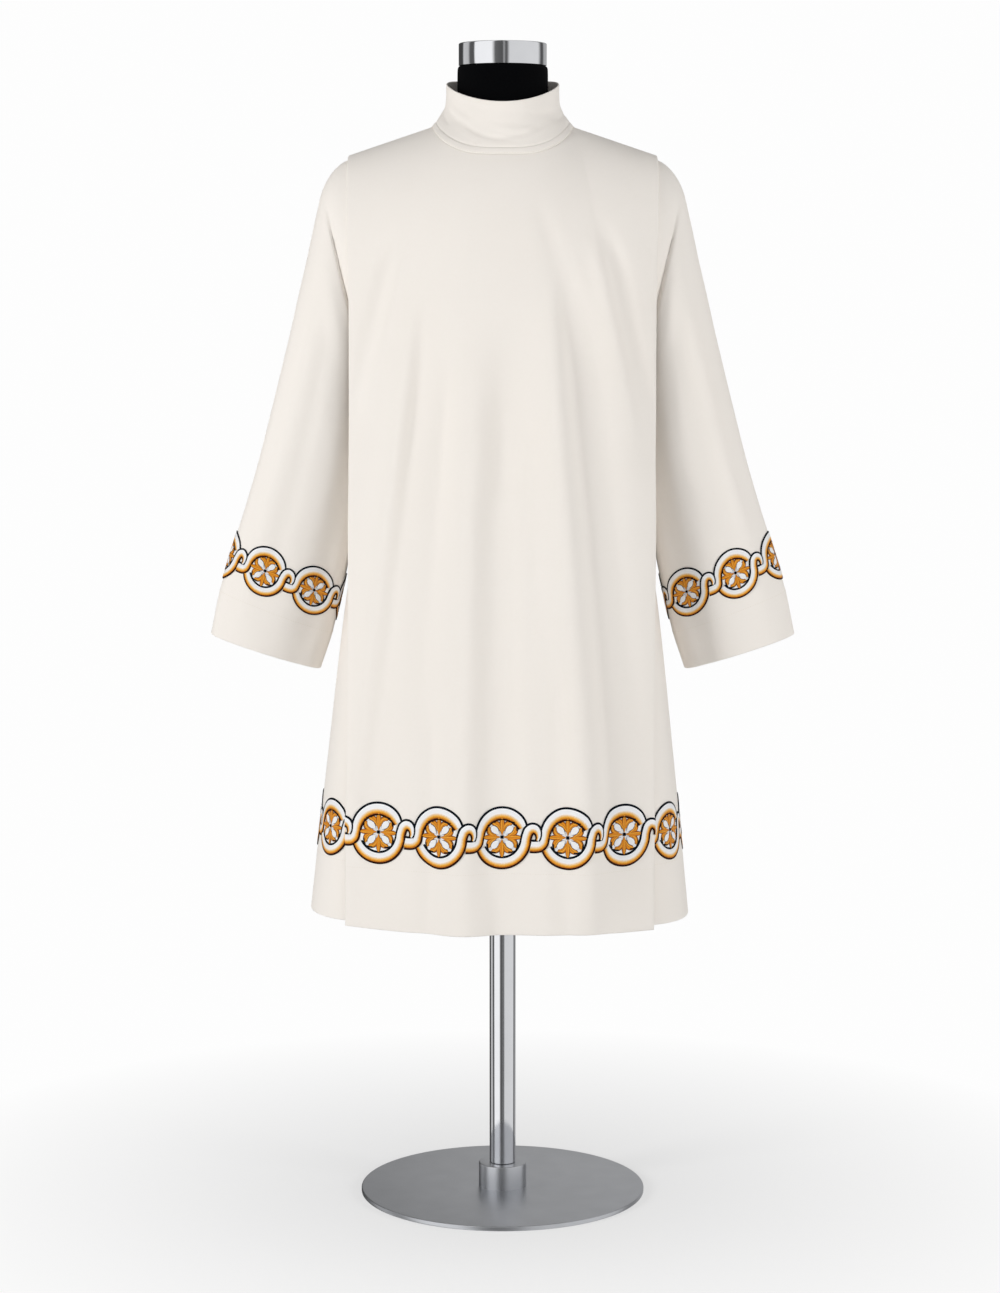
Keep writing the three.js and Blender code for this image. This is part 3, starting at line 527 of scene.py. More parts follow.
# Each fold: x and z of its top, x and z of its bottom, width at top and bottom, and rise.
FOLDS = {
    "front": [
        (-104, 1215, -182, 540, 24, 36, 5), (-76, 1215, -142, 540, 22, 34, -5),
        (-36, 1180, -50, 385, 28, 40, 5), (8, 1180, 12, 385, 26, 34, -5),
        (58, 1240, 118, 500, 24, 34, 5), (88, 1240, 164, 500, 22, 32, -5),
    ],
    "back": [
        (-122, 1230, -168, 420, 24, 34, 5), (-84, 1230, -114, 385, 24, 34, -5),
        (-38, 1190, -58, 385, 26, 38, 5), (4, 1150, 2, 385, 28, 36, -5),
        (46, 1200, 64, 385, 26, 38, 5), (96, 1240, 128, 385, 24, 36, -5),
    ],
}
FOLD_STRENGTH, TROUGH_LIMIT = 2.6, 6.0
CREASES = {
    "front": [
        (126, 1300, 192, 1010, 12, 16, -3.4), (112, 1290, 178, 1040, 12, 18, 2.2),
        (80, 1235, 170, 500, 13, 19, -3.0), (-90, 1205, -176, 540, 14, 20, -3.2),
        (-132, 1300, -188, 1060, 12, 16, -2.2), (-118, 1280, -172, 1080, 12, 18, 1.6),
        (20, 1040, 30, 520, 14, 20, 1.8), (5, 1150, 12, 385, 26, 34, 1.2),
        (-20, 980, -24, 470, 14, 18, -1.4),
        (-120, 900, -128, 430, 12, 18, 1.4), (140, 860, 138, 400, 12, 16, -1.6),
        (70, 760, 84, 385, 12, 16, -1.5), (-88, 700, -92, 385, 12, 15, -1.2),
        (40, 1330, 92, 1180, 10, 16, -1.2), (-44, 1330, -96, 1190, 10, 16, -1.0),
    ],
    "back": [
        (120, 1300, 186, 1040, 12, 16, -2.4), (-126, 1310, -184, 1030, 12, 16, -2.6),
        (24, 1050, 34, 470, 14, 20, 1.6), (-20, 1000, -30, 440, 14, 18, -1.6),
        (-140, 900, -142, 420, 12, 16, 1.5), (150, 840, 150, 400, 12, 16, 1.4),
        (80, 760, 92, 385, 12, 16, 1.4), (-88, 720, -86, 385, 12, 15, -1.3),
    ],
}
print("body sections:", len(BODY), "folds:", {side: len(rows) for side, rows in FOLDS.items()})

# %% [markdown]
# Over the shoulder the panel follows a quarter of an oval, and below the chest it hangs. The side
# edges are pressed round a tight turn and go back under the panel, where a pleat opens to the hem.
# A hand pressing real cloth does this in the same order, so the grid has columns for it.

# %% Shape of the body panels
def panel_depth(x, z):
    across = np.minimum(1, np.abs(x) / section(BODY, z, "pleat"))
    centre, edge = section(BODY, z, "centre"), section(BODY, z, "edge")
    return centre + (edge - centre) * across**PLEAT_FULLNESS


def fold_rise(side, x, z):
    total = np.zeros(np.broadcast(x, z).shape)
    for table, soft in ((FOLDS[side], FOLD_EASE), (CREASES[side], CREASE_EASE)):
        for x0, z0, x1, z1, w0, w1, rise in table:
            t = (z0 - z) / (z0 - z1)
            grow = ease((z0 - z) / soft)
            die = ease((z - z1 + soft) / soft) if z1 > HEM_HEIGHT else 1
            away = (x - (x0 + (x1 - x0) * t)) / (w0 + (w1 - w0) * np.clip(t, 0, 1))
            total = total + FOLD_STRENGTH * rise * grow * die * bell(away)
    return np.where(total < 0, TROUGH_LIMIT * np.tanh(total / TROUGH_LIMIT), total)


def shoulder_height(x):
    past = np.abs(x) - NECK_HALF_WIDTH
    rise = SHOULDER_SLOPE * NECK_HALF_WIDTH / 2
    under_collar = NECK_SIDE_HEIGHT + rise * (1 - (x / NECK_HALF_WIDTH) ** 2)
    return np.where(past > 0, NECK_SIDE_HEIGHT - past * SHOULDER_SLOPE, under_collar)


def neckline_depth(side, top):
    aside = np.minimum(1, np.abs(top) / NECK_HALF_WIDTH)
    return NECKLINE_DEPTH[side] * (1 - aside**NECKLINE_ROUND) ** (1 / NECKLINE_ROUND)


def panel_point(side, top, x, down, share):
    """down is 0 at the top edge, 1 at the chest and 2 at the hem."""
    away, rounding = (-1 if side == "front" else 1), SHOULDER_ROUND[side]
    across = top + (x - top) * ease(down)
    depth = neckline_depth(side, top) / panel_depth(top, CHEST_HEIGHT)
    start = np.arcsin(depth ** (rounding / 2))
    angle = start + (np.pi / 2 - start) * np.clip(down, 0, 1)
    rise = (shoulder_height(across) - CHEST_HEIGHT) * np.cos(angle) ** (2 / rounding)
    over_y = panel_depth(across, CHEST_HEIGHT) * np.sin(angle) ** (2 / rounding)
    hanging_z = CHEST_HEIGHT + (HEM_HEIGHT - CHEST_HEIGHT) * (down - 1)
    z = np.where(down > 1, hanging_z, CHEST_HEIGHT + rise)
    y = np.where(down > 1, panel_depth(across, hanging_z), over_y)
    return xyz(across, away * (y + share * fold_rise(side, across, z)), z)


def swing(points):
    """The hem hangs a little aside, and lower on one side."""
    x, y, z = (points[..., k] for k in range(3))
    t = np.clip((SHOULDER_TIP[1] - z) / (SHOULDER_TIP[1] - HEM_HEIGHT), 0, 1) ** 2
    return xyz(x - SWING_ASIDE * t, y, z - SWING_DROP * t * x / SHOULDER_TIP[0])


print("chest depth at the middle:", float(panel_depth(0.0, CHEST_HEIGHT)), "mm")

# %% [markdown]
# The grid is close enough for soft creases: about 3.6 mm across and 5 mm down. The outer skin of the
# frame's solid is half a layer outside its middle, so the grid is moved out by that much. Above the
# chest the pleat lies close behind the folds, and below it hangs free.

# %% Grids of the body panels
NECK_STEPS, SHOULDER_STEPS, FINE = 7, 4, 5
TURN_STEPS, LAP_STEPS = 5, 6
SHOULDER_ROWS, HANGING_ROWS = 44, 160
LAP_FREE_BELOW, LAP_EASE = CHEST_HEIGHT + 20, 120
NUDGE = 0.01  # a small step, to find how the surface slopes
TURN_MARGIN = 0.2


def neckline_x(step):
    """Distance of the neckline from its middle, at a step counted from there."""
    share = np.minimum(1, step / NECK_STEPS)
    return NECK_HALF_WIDTH * np.sin(np.pi / 2 * share) ** (2 / NECKLINE_ROUND)


def panel_columns():
    """Place on the top edge and across the chest, angle in the turn, and share of the lap."""
    count = NECK_STEPS + SHOULDER_STEPS
    step = np.arange(1, count * FINE) / FINE
    past = np.maximum(0, step - NECK_STEPS) / SHOULDER_STEPS
    top = neckline_x(step) + (SHOULDER_TIP[0] - NECK_HALF_WIDTH) * past
    turn = np.linspace(0, np.pi, TURN_STEPS + 1)
    lap = np.linspace(0, 1, LAP_STEPS + 1)[1:]
    edge = len(turn) + len(lap)
    return (
        np.concatenate([top, np.full(edge, SHOULDER_TIP[0])]),
        np.concatenate([step / count, np.ones(edge)]),
        np.concatenate([np.zeros(len(top)), turn, np.full(len(lap), np.pi)]),
        np.concatenate([np.zeros(len(top) + len(turn)), lap]),
    )


def panel_cloth(side):
    away = -1 if side == "front" else 1
    middle = np.array([0.0] if side == "front" else [-1e-9, 1e-9])
    top, chest, turn, lap = (
        np.concatenate([sign * values[::-1], middle * (sign < 0), values])
        for sign, values in zip((-1, -1, 1, 1), panel_columns())
    )
    over_shoulder = np.arange(SHOULDER_ROWS) / SHOULDER_ROWS
    down = np.concatenate([over_shoulder, np.linspace(1, 2, HANGING_ROWS)])[:, None]
    height = panel_point(side, top, chest, down, 1)[..., 2]
    radius, pleat, reach_in, opening = (
        section(BODY, height, column) for column in ("turn", "pleat", "lap", "open")
    )
    reach = pleat - radius
    flat = np.sign(chest)
    pressed = np.abs(chest) == 1
    pleat_x = flat * (reach + radius * np.sin(turn) - reach_in * lap)
    x = np.where(pressed, pleat_x, chest * reach)
    start = np.where(pressed, x, top)
    share = np.where(pressed, 1 - lap * ease((LAP_FREE_BELOW - height) / LAP_EASE), 1)
    here = panel_point(side, start, x, down, share)
    sideways = panel_point(side, start + NUDGE, x + NUDGE, down, share) - here
    nudge = np.where(down > 1.5, -NUDGE, NUDGE)
    downwards = panel_point(side, start, x, down + nudge, share) - here
    hint = xyz(0 * x, away, np.clip(1.1 - down, 0, 1))
    outwards = towards(unit(np.cross(sideways, downwards * np.sign(nudge)[..., None])), hint)
    sunk = np.where(pressed, radius * (1 - np.cos(turn)) + opening * lap, 0)
    points = here - outwards * sunk[..., None]
    centre = len(top) // 2
    if side == "back":
        parted = np.where(points[..., 2] > SLIT_BOTTOM, SLIT_HALF_WIDTH, 0)
        points[:, centre - 1, 0] -= parted[:, centre - 1]
        points[:, centre, 0] += parted[:, centre]
    points = swing(points)
    facing_in = (turn > np.pi / 2)[None, :, None]
    at_turn = ((turn > TURN_MARGIN) & (turn < np.pi - TURN_MARGIN))[None, :, None]
    hint = np.where(facing_in, -hint, hint) + np.where(at_turn, 2 * xyz(flat, 0, 0)[None], 0)
    normals = grid_normals(points, hint)
    points = points + normals * CLOTH / 2
    points[..., 1] = away * np.maximum(SEAM_GAP / 2, away * points[..., 1])
    if side == "back":
        joined = points[:, centre, 2] <= SLIT_BOTTOM
        line = (points[:, centre - 1] + points[:, centre]) / 2
        points[joined, centre - 1] = points[joined, centre] = line[joined]
    edge = TURN_STEPS + LAP_STEPS
    face = slice(edge, len(top) - edge)
    above = points[:, centre, 2] - HEM_HEIGHT
    return {
        "points": points, "normals": normals, "above": above, "around": False, "face": face,
    }


panels = {side: panel_cloth(side) for side in ("front", "back")}
for side, cloth in panels.items():
    print(side, "panel grid:", cloth["points"].shape[:2])

# %% [markdown]
# Between the pleats a curved side panel closes the body under the arm. Its top follows the
# underside of the armhole, and it widens to the hem.

# %% Grids of the side panels
SIDE_COLUMNS, SIDE_ROWS, SIDE_HEM_ROWS = 72, 130, 42
SIDE_HEM_TOP = 176  # height above the hem where the rows become level
ARMHOLE_DEPTH, ARMHOLE_UNDERSIDE, ARMHOLE_EASE = 87, 1126, 6
CORNER_OVERLAP, CORNER_TUCK, CORNER_EASE = 18, 4, 60
WAVE_RISE, WAVE_TOP, WAVE_EASE = 1.6, CHEST_HEIGHT - 120, 500
SEAM_ROOM = CLOTH + 3 * SEAM_GAP


def side_point(across, z):
    low = np.minimum(z, CHEST_HEIGHT)
    turn = section(BODY, low, "turn")
    x = section(BODY, low, "pleat") - turn - section(BODY, low, "lap") + 1
    depth = panel_depth(x, low) - 2 * turn - section(BODY, low, "open") - SEAM_ROOM
    angle = np.pi * across
    bulge = section(BODY, low, "side") - x
    wave = WAVE_RISE * np.sin(3 * angle) * ease((WAVE_TOP - z) / WAVE_EASE)
    return xyz(x + (bulge + wave) * np.sin(angle), -depth * np.cos(angle), z)


def side_cloth(hand):
    across = np.linspace(0, 1, SIDE_COLUMNS + 1)[None, :]
    armpit_y = side_point(across, np.full_like(across, CHEST_HEIGHT))[..., 1]
    curve = oval(np.minimum(1, np.abs(armpit_y) / (ARMHOLE_DEPTH + ARMHOLE_EASE)))
    top = CHEST_HEIGHT - (CHEST_HEIGHT - ARMHOLE_UNDERSIDE) * curve - SEAM_ROOM
    top = top + CORNER_OVERLAP * (1 - curve)
    upper = top + (HEM_HEIGHT + SIDE_HEM_TOP - top) * np.linspace(0, 1, SIDE_ROWS)[:, None]
    lower = np.linspace(SIDE_HEM_TOP, 0, SIDE_HEM_ROWS)[1:, None] + HEM_HEIGHT + 0 * across
    z = np.vstack([upper, lower])
    points = side_point(across + 0 * z, z)
    points[..., 0] *= hand
    tucked = CORNER_TUCK / ARMHOLE_DEPTH * ease((z - ARMHOLE_UNDERSIDE) / CORNER_EASE)
    points[..., 1] *= 1 - tucked
    points = swing(points)
    normals = grid_normals(points, xyz(hand, 0, 0 * z))
    above = z[:, SIDE_COLUMNS // 2] - HEM_HEIGHT
    return {
        "points": points + normals * CLOTH / 2, "normals": normals, "above": above,
        "around": False, "face": slice(0, SIDE_COLUMNS + 1),
    }


HANDS = {"left": -1, "right": 1}
sides = {name: side_cloth(hand) for name, hand in HANDS.items()}
print("side panel grids:", sides["left"]["points"].shape[:2])

# %% [markdown]
# A sleeve is a stack of rings that lean outwards from the armhole to the cuff. In front, a deep
# crease runs from the cap down to the armpit, with a soft roll beside it, because the sleeve is cut
# at an angle to the body. Long soft folds run on towards the cuff.

# %% Grids of the sleeves
SLEEVE_COLUMNS = ("ox", "oz", "ix", "iz", "depth", "deepest", "tuck")
SLEEVE_ROWS = [
    (188, 1375, 169.5, 1126, 87, 0.25, 12), (206.5, 1368.5, 171.5, 1123, 79, 0.28, 2),
    (221.5, 1354.5, 173, 1119, 75, 0.31, 0), (233, 1334, 174.5, 1113, 71.5, 0.35, 0),
    (240.5, 1306, 176, 1104, 69, 0.39, 0), (247.5, 1275, 177.5, 1090, 67.5, 0.43, 0),
    (255, 1241, 179.5, 1070, 66, 0.46, 0), (265, 1199, 181.5, 1044, 64, 0.48, 0),
    (276.5, 1149, 184, 1010, 62, 0.5, 0), (290, 1095, 186.5, 974, 60, 0.5, 0),
    (304, 1040, 190, 936, 57, 0.5, 0), (319, 983, 194.5, 903, 54, 0.5, 0),
    (336, 926, 200.5, 866, 51, 0.5, 0), (369, 822, 223, 766, 46.5, 0.5, 0),
    (384, 754.5, 241.5, 709, 44, 0.5, 0),
]
SLEEVE = [dict(zip(SLEEVE_COLUMNS, row)) for row in SLEEVE_ROWS]
CREASE_TOP, CREASE_BOTTOM = np.array([229.0, 1318.0]), np.array([196.0, 1176.0])
CREASE_WIDTH, CREASE_DEPTH, CREASE_ROLL, CREASE_ROLL_AWAY = 14, 2.5, 2, 22
CREASE_STARTS, CREASE_GROWS, CREASE_ENDS, CREASE_DIES = -0.15, 0.4, 1.5, 0.5
# The pinch along the crease: its depth, and its widths on the outer and the inner side.
PINCH = {"left": (8, 1.6, 5.0), "right": (8, 2.0, 11.0)}
SLEEVE_FLATNESS, FLAT_BELOW, FLAT_EASE = 0.28, 90, 160
BACK_FULLNESS, FULL_ABOVE, FULL_EASE = 0.05, 170, 120
SLEEVE_ROUND, SLEEVE_STEP, SLEEVE_DENSE, CLOSER_BY = 160, 4.2, 145, 0.55

# Each soft fold: angle round the sleeve in degrees at its top and bottom, distance above the cuff
# where it starts and ends, width in degrees, and rise.
SLEEVE_FOLDS = [
    (62, 48, 560, 150, 13, 2.2), (84, 74, 540, 60, 12, -2.4), (118, 104, 470, 40, 14, 2.0),
    (140, 128, 380, 0, 12, -1.6), (246, 232, 520, 80, 14, 2.4), (284, 268, 480, 30, 14, -2.2),
    (314, 300, 420, 60, 13, 1.6), (32, 40, 330, 20, 12, -1.2),
]


def sleeve_crease(name, x, z):
    line = CREASE_BOTTOM - CREASE_TOP
    from_x, from_z = x - CREASE_TOP[0], z - CREASE_TOP[1]
    t = (from_x * line[0] + from_z * line[1]) / (line @ line)
    aside = (from_x * line[1] - from_z * line[0]) / np.linalg.norm(line)
    window = ease((t - CREASE_STARTS) / CREASE_GROWS) * ease((CREASE_ENDS - t) / CREASE_DIES)
    trough = CREASE_DEPTH * bell(aside / CREASE_WIDTH)
    roll = CREASE_ROLL * bell((aside + CREASE_ROLL_AWAY) / CREASE_WIDTH)
    depth, outer_side, inner_side = PINCH[name]
    pinch = depth * np.exp(-np.abs(aside) / np.where(aside < 0, outer_side, inner_side))
    return window * (trough + pinch - roll)


def sleeve_cloth(name, hand):
    outer = np.array([(row["ox"], row["oz"]) for row in SLEEVE])
    above_cuff = travelled(outer[::-1])
    height = above_cuff[-1]
    above = np.linspace(height, 0, int(height / SLEEVE_STEP))
    ring = {
        size: smooth_curve(above_cuff, [row[size] for row in SLEEVE][::-1], above)[:, None]
        for size in SLEEVE_COLUMNS
    }
    turn = np.linspace(0, 2 * np.pi, SLEEVE_ROUND, endpoint=False)[None, :]
    closer = np.radians(SLEEVE_DENSE)
    angle = turn + CLOSER_BY * (np.sin(turn + np.pi - closer) - np.sin(np.pi - closer))
    c, s = np.cos(angle), np.sin(angle)
    along = ring["deepest"] + np.where(c > 0, (1 - ring["deepest"]) * c, ring["deepest"] * c)
    x = ring["ix"] + (ring["ox"] - ring["ix"]) * along
    z = ring["iz"] + (ring["oz"] - ring["iz"]) * along
    crease = np.where(s > 0, sleeve_crease(name, x, z) * s, 0)
    below_top = height - above[:, None]
    flatness = 1 - SLEEVE_FLATNESS * ease((below_top - FLAT_BELOW) / FLAT_EASE)
    fuller = 1 + BACK_FULLNESS * ease((FULL_ABOVE - below_top) / FULL_EASE)
    depth = ring["depth"] * np.sign(s) * np.abs(s) ** flatness * np.where(s < 0, fuller, 1)
    points = xyz(hand * (x - ring["tuck"] * np.abs(s)), crease - depth, z)
    centre = points.mean(axis=1, keepdims=True)
    normals = grid_normals(points, points - centre, around=True)
    rise = np.zeros(points.shape[:2])
    for start, end, high, low, width, lift in SLEEVE_FOLDS:
        t = (high - above[:, None]) / (high - low)
        away = np.degrees(angle) - (start + (end - start) * t)
        away = (away + 180) % 360 - 180
        window = ease(t / 0.3) * (ease((1.15 - t) / 0.3) if low > 0 else 1)
        rise = rise + lift * window * bell(away / width)
    points = points + normals * (CLOTH / 2 + rise)[..., None]
    normals = grid_normals(points, points - centre, around=True)
    return {
        "points": points, "normals": normals, "above": above, "around": True, "face": slice(None),
    }


sleeves = {name: sleeve_cloth(name, hand) for name, hand in HANDS.items()}
print("sleeve grids:", sleeves["left"]["points"].shape[:2])

# %% [markdown]
# The edge of a garment is turned up inside and sewn. The cloth goes round a small half circle and up
# the inside, so hem and cuff show a soft round edge and the double cloth stands off a little. Where
# the turning ends, the outer cloth has a faint ridge. Solidify then gives the sheet its thickness.

# %% Making a cloth piece with its turning
TURN_RADIUS, EDGE_STEPS = 1.3, 7
RIDGE, RIDGE_WIDTH = 0.35, 6
WELD_REACH = 0.00002


def ridge_over_turning(cloth, turning):
    """Presses the turning's upper edge through to the outside as a faint ridge."""
    above = cloth["above"][:, None]
    inside = ease((turning + RIDGE_WIDTH / 2 - above) / RIDGE_WIDTH) * RIDGE
    face = np.zeros(cloth["points"].shape[1], bool)
    face[cloth["face"]] = True
    cloth["points"] = cloth["points"] + cloth["normals"] * (inside * face)[..., None]


def turning_grid(cloth, turning):
    """Rows that go round the edge and up the inside, below the columns of the cloth's face."""
    face = cloth["face"]
    edge = cloth["points"][-1:, face]
    normal = cloth["normals"][-1:, face]
    up = unit(cloth["points"][-2:-1, face] - edge)
    centre = edge + up * TURN_RADIUS - normal * TURN_RADIUS
    angles = np.linspace(0, np.pi, EDGE_STEPS)[1:, None, None]
    round_edge = centre + TURN_RADIUS * (normal * np.cos(angles) - up * np.sin(angles))
    keep = (cloth["above"] > 2 * TURN_RADIUS) & (cloth["above"] < turning)
    inside = (cloth["points"] - 2 * TURN_RADIUS * cloth["normals"])[keep][::-1][:, face]
    return np.concatenate([round_edge, inside])


def sheet_uv(points):
    """A UV map in metres: distance along a row, and distance down a column."""
    steps = [np.linalg.norm(np.diff(points, axis=axis), axis=-1) for axis in (1, 0)]
    u = np.pad(np.cumsum(steps[0], axis=1), ((0, 0), (1, 0)))
    v = np.pad(np.cumsum(steps[1], axis=0), ((1, 0), (0, 0)))
    middle = points.shape[1] // 2
    return np.stack(
        [u - u[:, middle : middle + 1], v.mean(axis=1, keepdims=True) + 0 * u], axis=-1
    ) * MM


def build_cloth(name, cloth, turning, slit_column=None):
    ridge_over_turning(cloth, turning)
    points, normals = cloth["points"].copy(), cloth["normals"]
    rows, columns = points.shape[:2]
    lift_edge = unit(points[-2] - points[-1]) * TURN_RADIUS
    points[-1, cloth["face"]] += lift_edge[cloth["face"]]
    faces = grid_faces(rows, columns, around=cloth["around"])
    if slit_column is not None:
        faces = faces[faces[:, 0] % columns != slit_column]
    uv = sheet_uv(points)
    inside = turning_grid(cloth, turning)
    hem_row = points[-1:, cloth["face"]]
    turned = np.concatenate([hem_row, inside])
    turned_faces = grid_faces(*turned.shape[:2], first=rows * columns, around=cloth["around"])
    if slit_column is not None:
        local = (turned_faces[:, 0] - rows * columns) % turned.shape[1]
        turned_faces = turned_faces[local != slit_column - cloth["face"].start]
    turned_uv = sheet_uv(turned) + [0, uv[-1, 0, 1]]
    all_points = np.concatenate([points.reshape(-1, 3), turned.reshape(-1, 3)])
    all_uv = np.concatenate([uv.reshape(-1, 2), turned_uv.reshape(-1, 2)])
    faces = np.concatenate([faces, turned_faces])
    direction = np.concatenate([normals.reshape(-1, 3), np.zeros((len(turned.reshape(-1, 3)), 3))])
    faces = face_outwards(all_points, faces, direction)
    piece = make_mesh(name, all_points, faces.tolist(), [CLOTH_FINISH], "cloth", all_uv)
    weld_and_thicken(piece, SHEET)
    return piece


def edit_all(piece, operation, **settings):
    """Runs one mesh operation on all of a piece."""
    bpy.ops.object.select_all(action="DESELECT")
    piece.select_set(True)
    bpy.context.view_layer.objects.active = piece
    bpy.ops.object.mode_set(mode="EDIT")
    bpy.ops.mesh.select_all(action="SELECT")
    operation(**settings)
    bpy.ops.object.mode_set(mode="OBJECT")


def weld_and_thicken(piece, thickness):
    edit_all(piece, bpy.ops.mesh.remove_doubles, threshold=WELD_REACH)
    wall = piece.modifiers.new("thickness", "SOLIDIFY")
    wall.thickness = thickness * MM
    wall.offset = -1
    bpy.ops.object.modifier_apply(modifier=wall.name)


HEM_BORDER_HEIGHT, SIDE_BORDER_HEIGHT, CUFF_BORDER_HEIGHT = 126, 121, 109
for cloth in (*panels.values(), *sides.values(), *sleeves.values()):
    row_above = CUFF_BORDER_HEIGHT if cloth["around"] else HEM_BORDER_HEIGHT
    row = cloth["points"][np.argmin(np.abs(cloth["above"] - row_above))]
    cloth["along"] = travelled(np.vstack([row, row[:1]]) if cloth["around"] else row)
    cloth["length"] = cloth["along"][-1]

front = build_cloth("surplice_front", panels["front"], HEM_TURNING)
slit_column = panels["back"]["points"].shape[1] // 2 - 1
back = build_cloth("surplice_back", panels["back"], HEM_TURNING, slit_column)
side_pieces = {
    name: build_cloth(f"side_panel_cloth_{name}", cloth, HEM_TURNING)
    for name, cloth in sides.items()
}
sleeve_pieces = {
    name: build_cloth(f"sleeve_cloth_{name}", cloth, CUFF_TURNING)
    for name, cloth in sleeves.items()
}
sleeve_count = len(sleeve_pieces["left"].data.polygons)
print("front:", len(front.data.polygons), "faces; a sleeve:", sleeve_count)

# %% [markdown]
# The standing collar is one strip of double cloth. Outside it rises from the neckline, leans in and
# goes over a soft top edge, and inside it comes down again. The lowest few millimetres are the seam
# allowance, pressed up as a band. It sags in shallow slanting wrinkles and is open at the centre back.

# %% Collar
COLLAR_UP = [0, 0.14, 0.3, 0.48, 0.74, 1]
COLLAR_INWARDS = [0, 0.33, 0.62, 0.92, 1, 1]
COLLAR_TOP = {"halfWidth": 72.5, "halfDepth": 65, "y": 1, "z": 1458.3, "tilt": 15.8, "saddle": 10.2}
COLLAR_STEPS, COLLAR_FINE, COLLAR_ROWS, SEAM_ROWS = 4 * NECK_STEPS, 6, 24, 13
COLLAR_WALL, COLLAR_SHEET = 2.4, 0.8
# The seam allowance's edge lies on the panel: distance from the neckline and height over the cloth.
SEAM_BAND = [(2.0, 0.1), (1.9, 0.8), (1.2, 1.3), (0.4, 1.5)]
SEAM_TOP, SEAM_EDGE, SEAM_RISE = 0.085, 0.02, 1.2
SEAM_GROOVE, GROOVE_ABOVE = 0.9, 0.014
PRESSED_ASIDE = 0.25  # the seam is pressed flatter towards the shoulders
STITCH_LIFT = 0.05

# Each wrinkle: angle round the neck in degrees and share of the height at both ends, width as a
# share of the height, and rise. Angle 270 is the front.
WRINKLE_STRENGTH = 2.2
COLLAR_WRINKLES = [
    (232, 0.42, 276, 0.24, 0.06, -0.9), (262, 0.5, 300, 0.4, 0.07, 0.8), (268, 0.3, 312, 0.42, 0.05, -0.7),
    (204, 0.62, 240, 0.5, 0.08, 0.7), (296, 0.7, 332, 0.56, 0.08, -0.7), (180, 0.36, 214, 0.3, 0.06, -0.6),
    (330, 0.34, 366, 0.28, 0.06, -0.7), (20, 0.5, 70, 0.4, 0.08, 0.8), (110, 0.4, 160, 0.5, 0.08, -0.8),
    (240, 0.86, 300, 0.8, 0.1, -0.5),
]


def neckline_point(step, below=0.0):
    """The neckline at a step counted from the left end of the shoulder seam, through the front."""
    step = np.mod(step, COLLAR_STEPS)
    in_front = step <= COLLAR_STEPS / 2
    from_middle = np.where(in_front, step - NECK_STEPS, 3 * NECK_STEPS - step)
    top = np.sign(from_middle) * neckline_x(np.abs(from_middle))
    down = np.full_like(top, below)
    front_point = panel_point("front", top, top, down, 1)
    back_point = panel_point("back", top, top, down, 1)
    return np.where(in_front[..., None], front_point, back_point)


def seam_band(step, base):
    """Rows of the seam allowance, from its outer edge in to the neckline, with their directions."""
    down = unit(neckline_point(step, 0.03) - base)
    normal = towards(unit(np.cross(np.gradient(base, axis=0), down)), [0, 0, 1])
    rows = [base + down * away + normal * (CLOTH / 2 + high) for away, high in SEAM_BAND]
    return np.stack(rows), np.repeat(normal[None], len(rows), axis=0)


def collar_rise(angle, up):
    over = ease((SEAM_TOP - up) / SEAM_EDGE + 0.5)
    groove = bell((up - SEAM_TOP - GROOVE_ABOVE) / SEAM_EDGE)
    pressed = PRESSED_ASIDE + (1 - PRESSED_ASIDE) * np.abs(np.sin(np.radians(angle)))
    total = (SEAM_RISE * over - SEAM_GROOVE * groove) * pressed
    for a0, u0, a1, u1, width, rise in COLLAR_WRINKLES:
        t = (np.mod(angle - a0 + 60, 360) - 60) / (a1 - a0)
        window = ease((t + 0.2) / 0.5) * ease((1.2 - t) / 0.5)
        away = (up - (u0 + (u1 - u0) * t)) / width
        total = total + WRINKLE_STRENGTH * rise * window * bell(away)
    return total


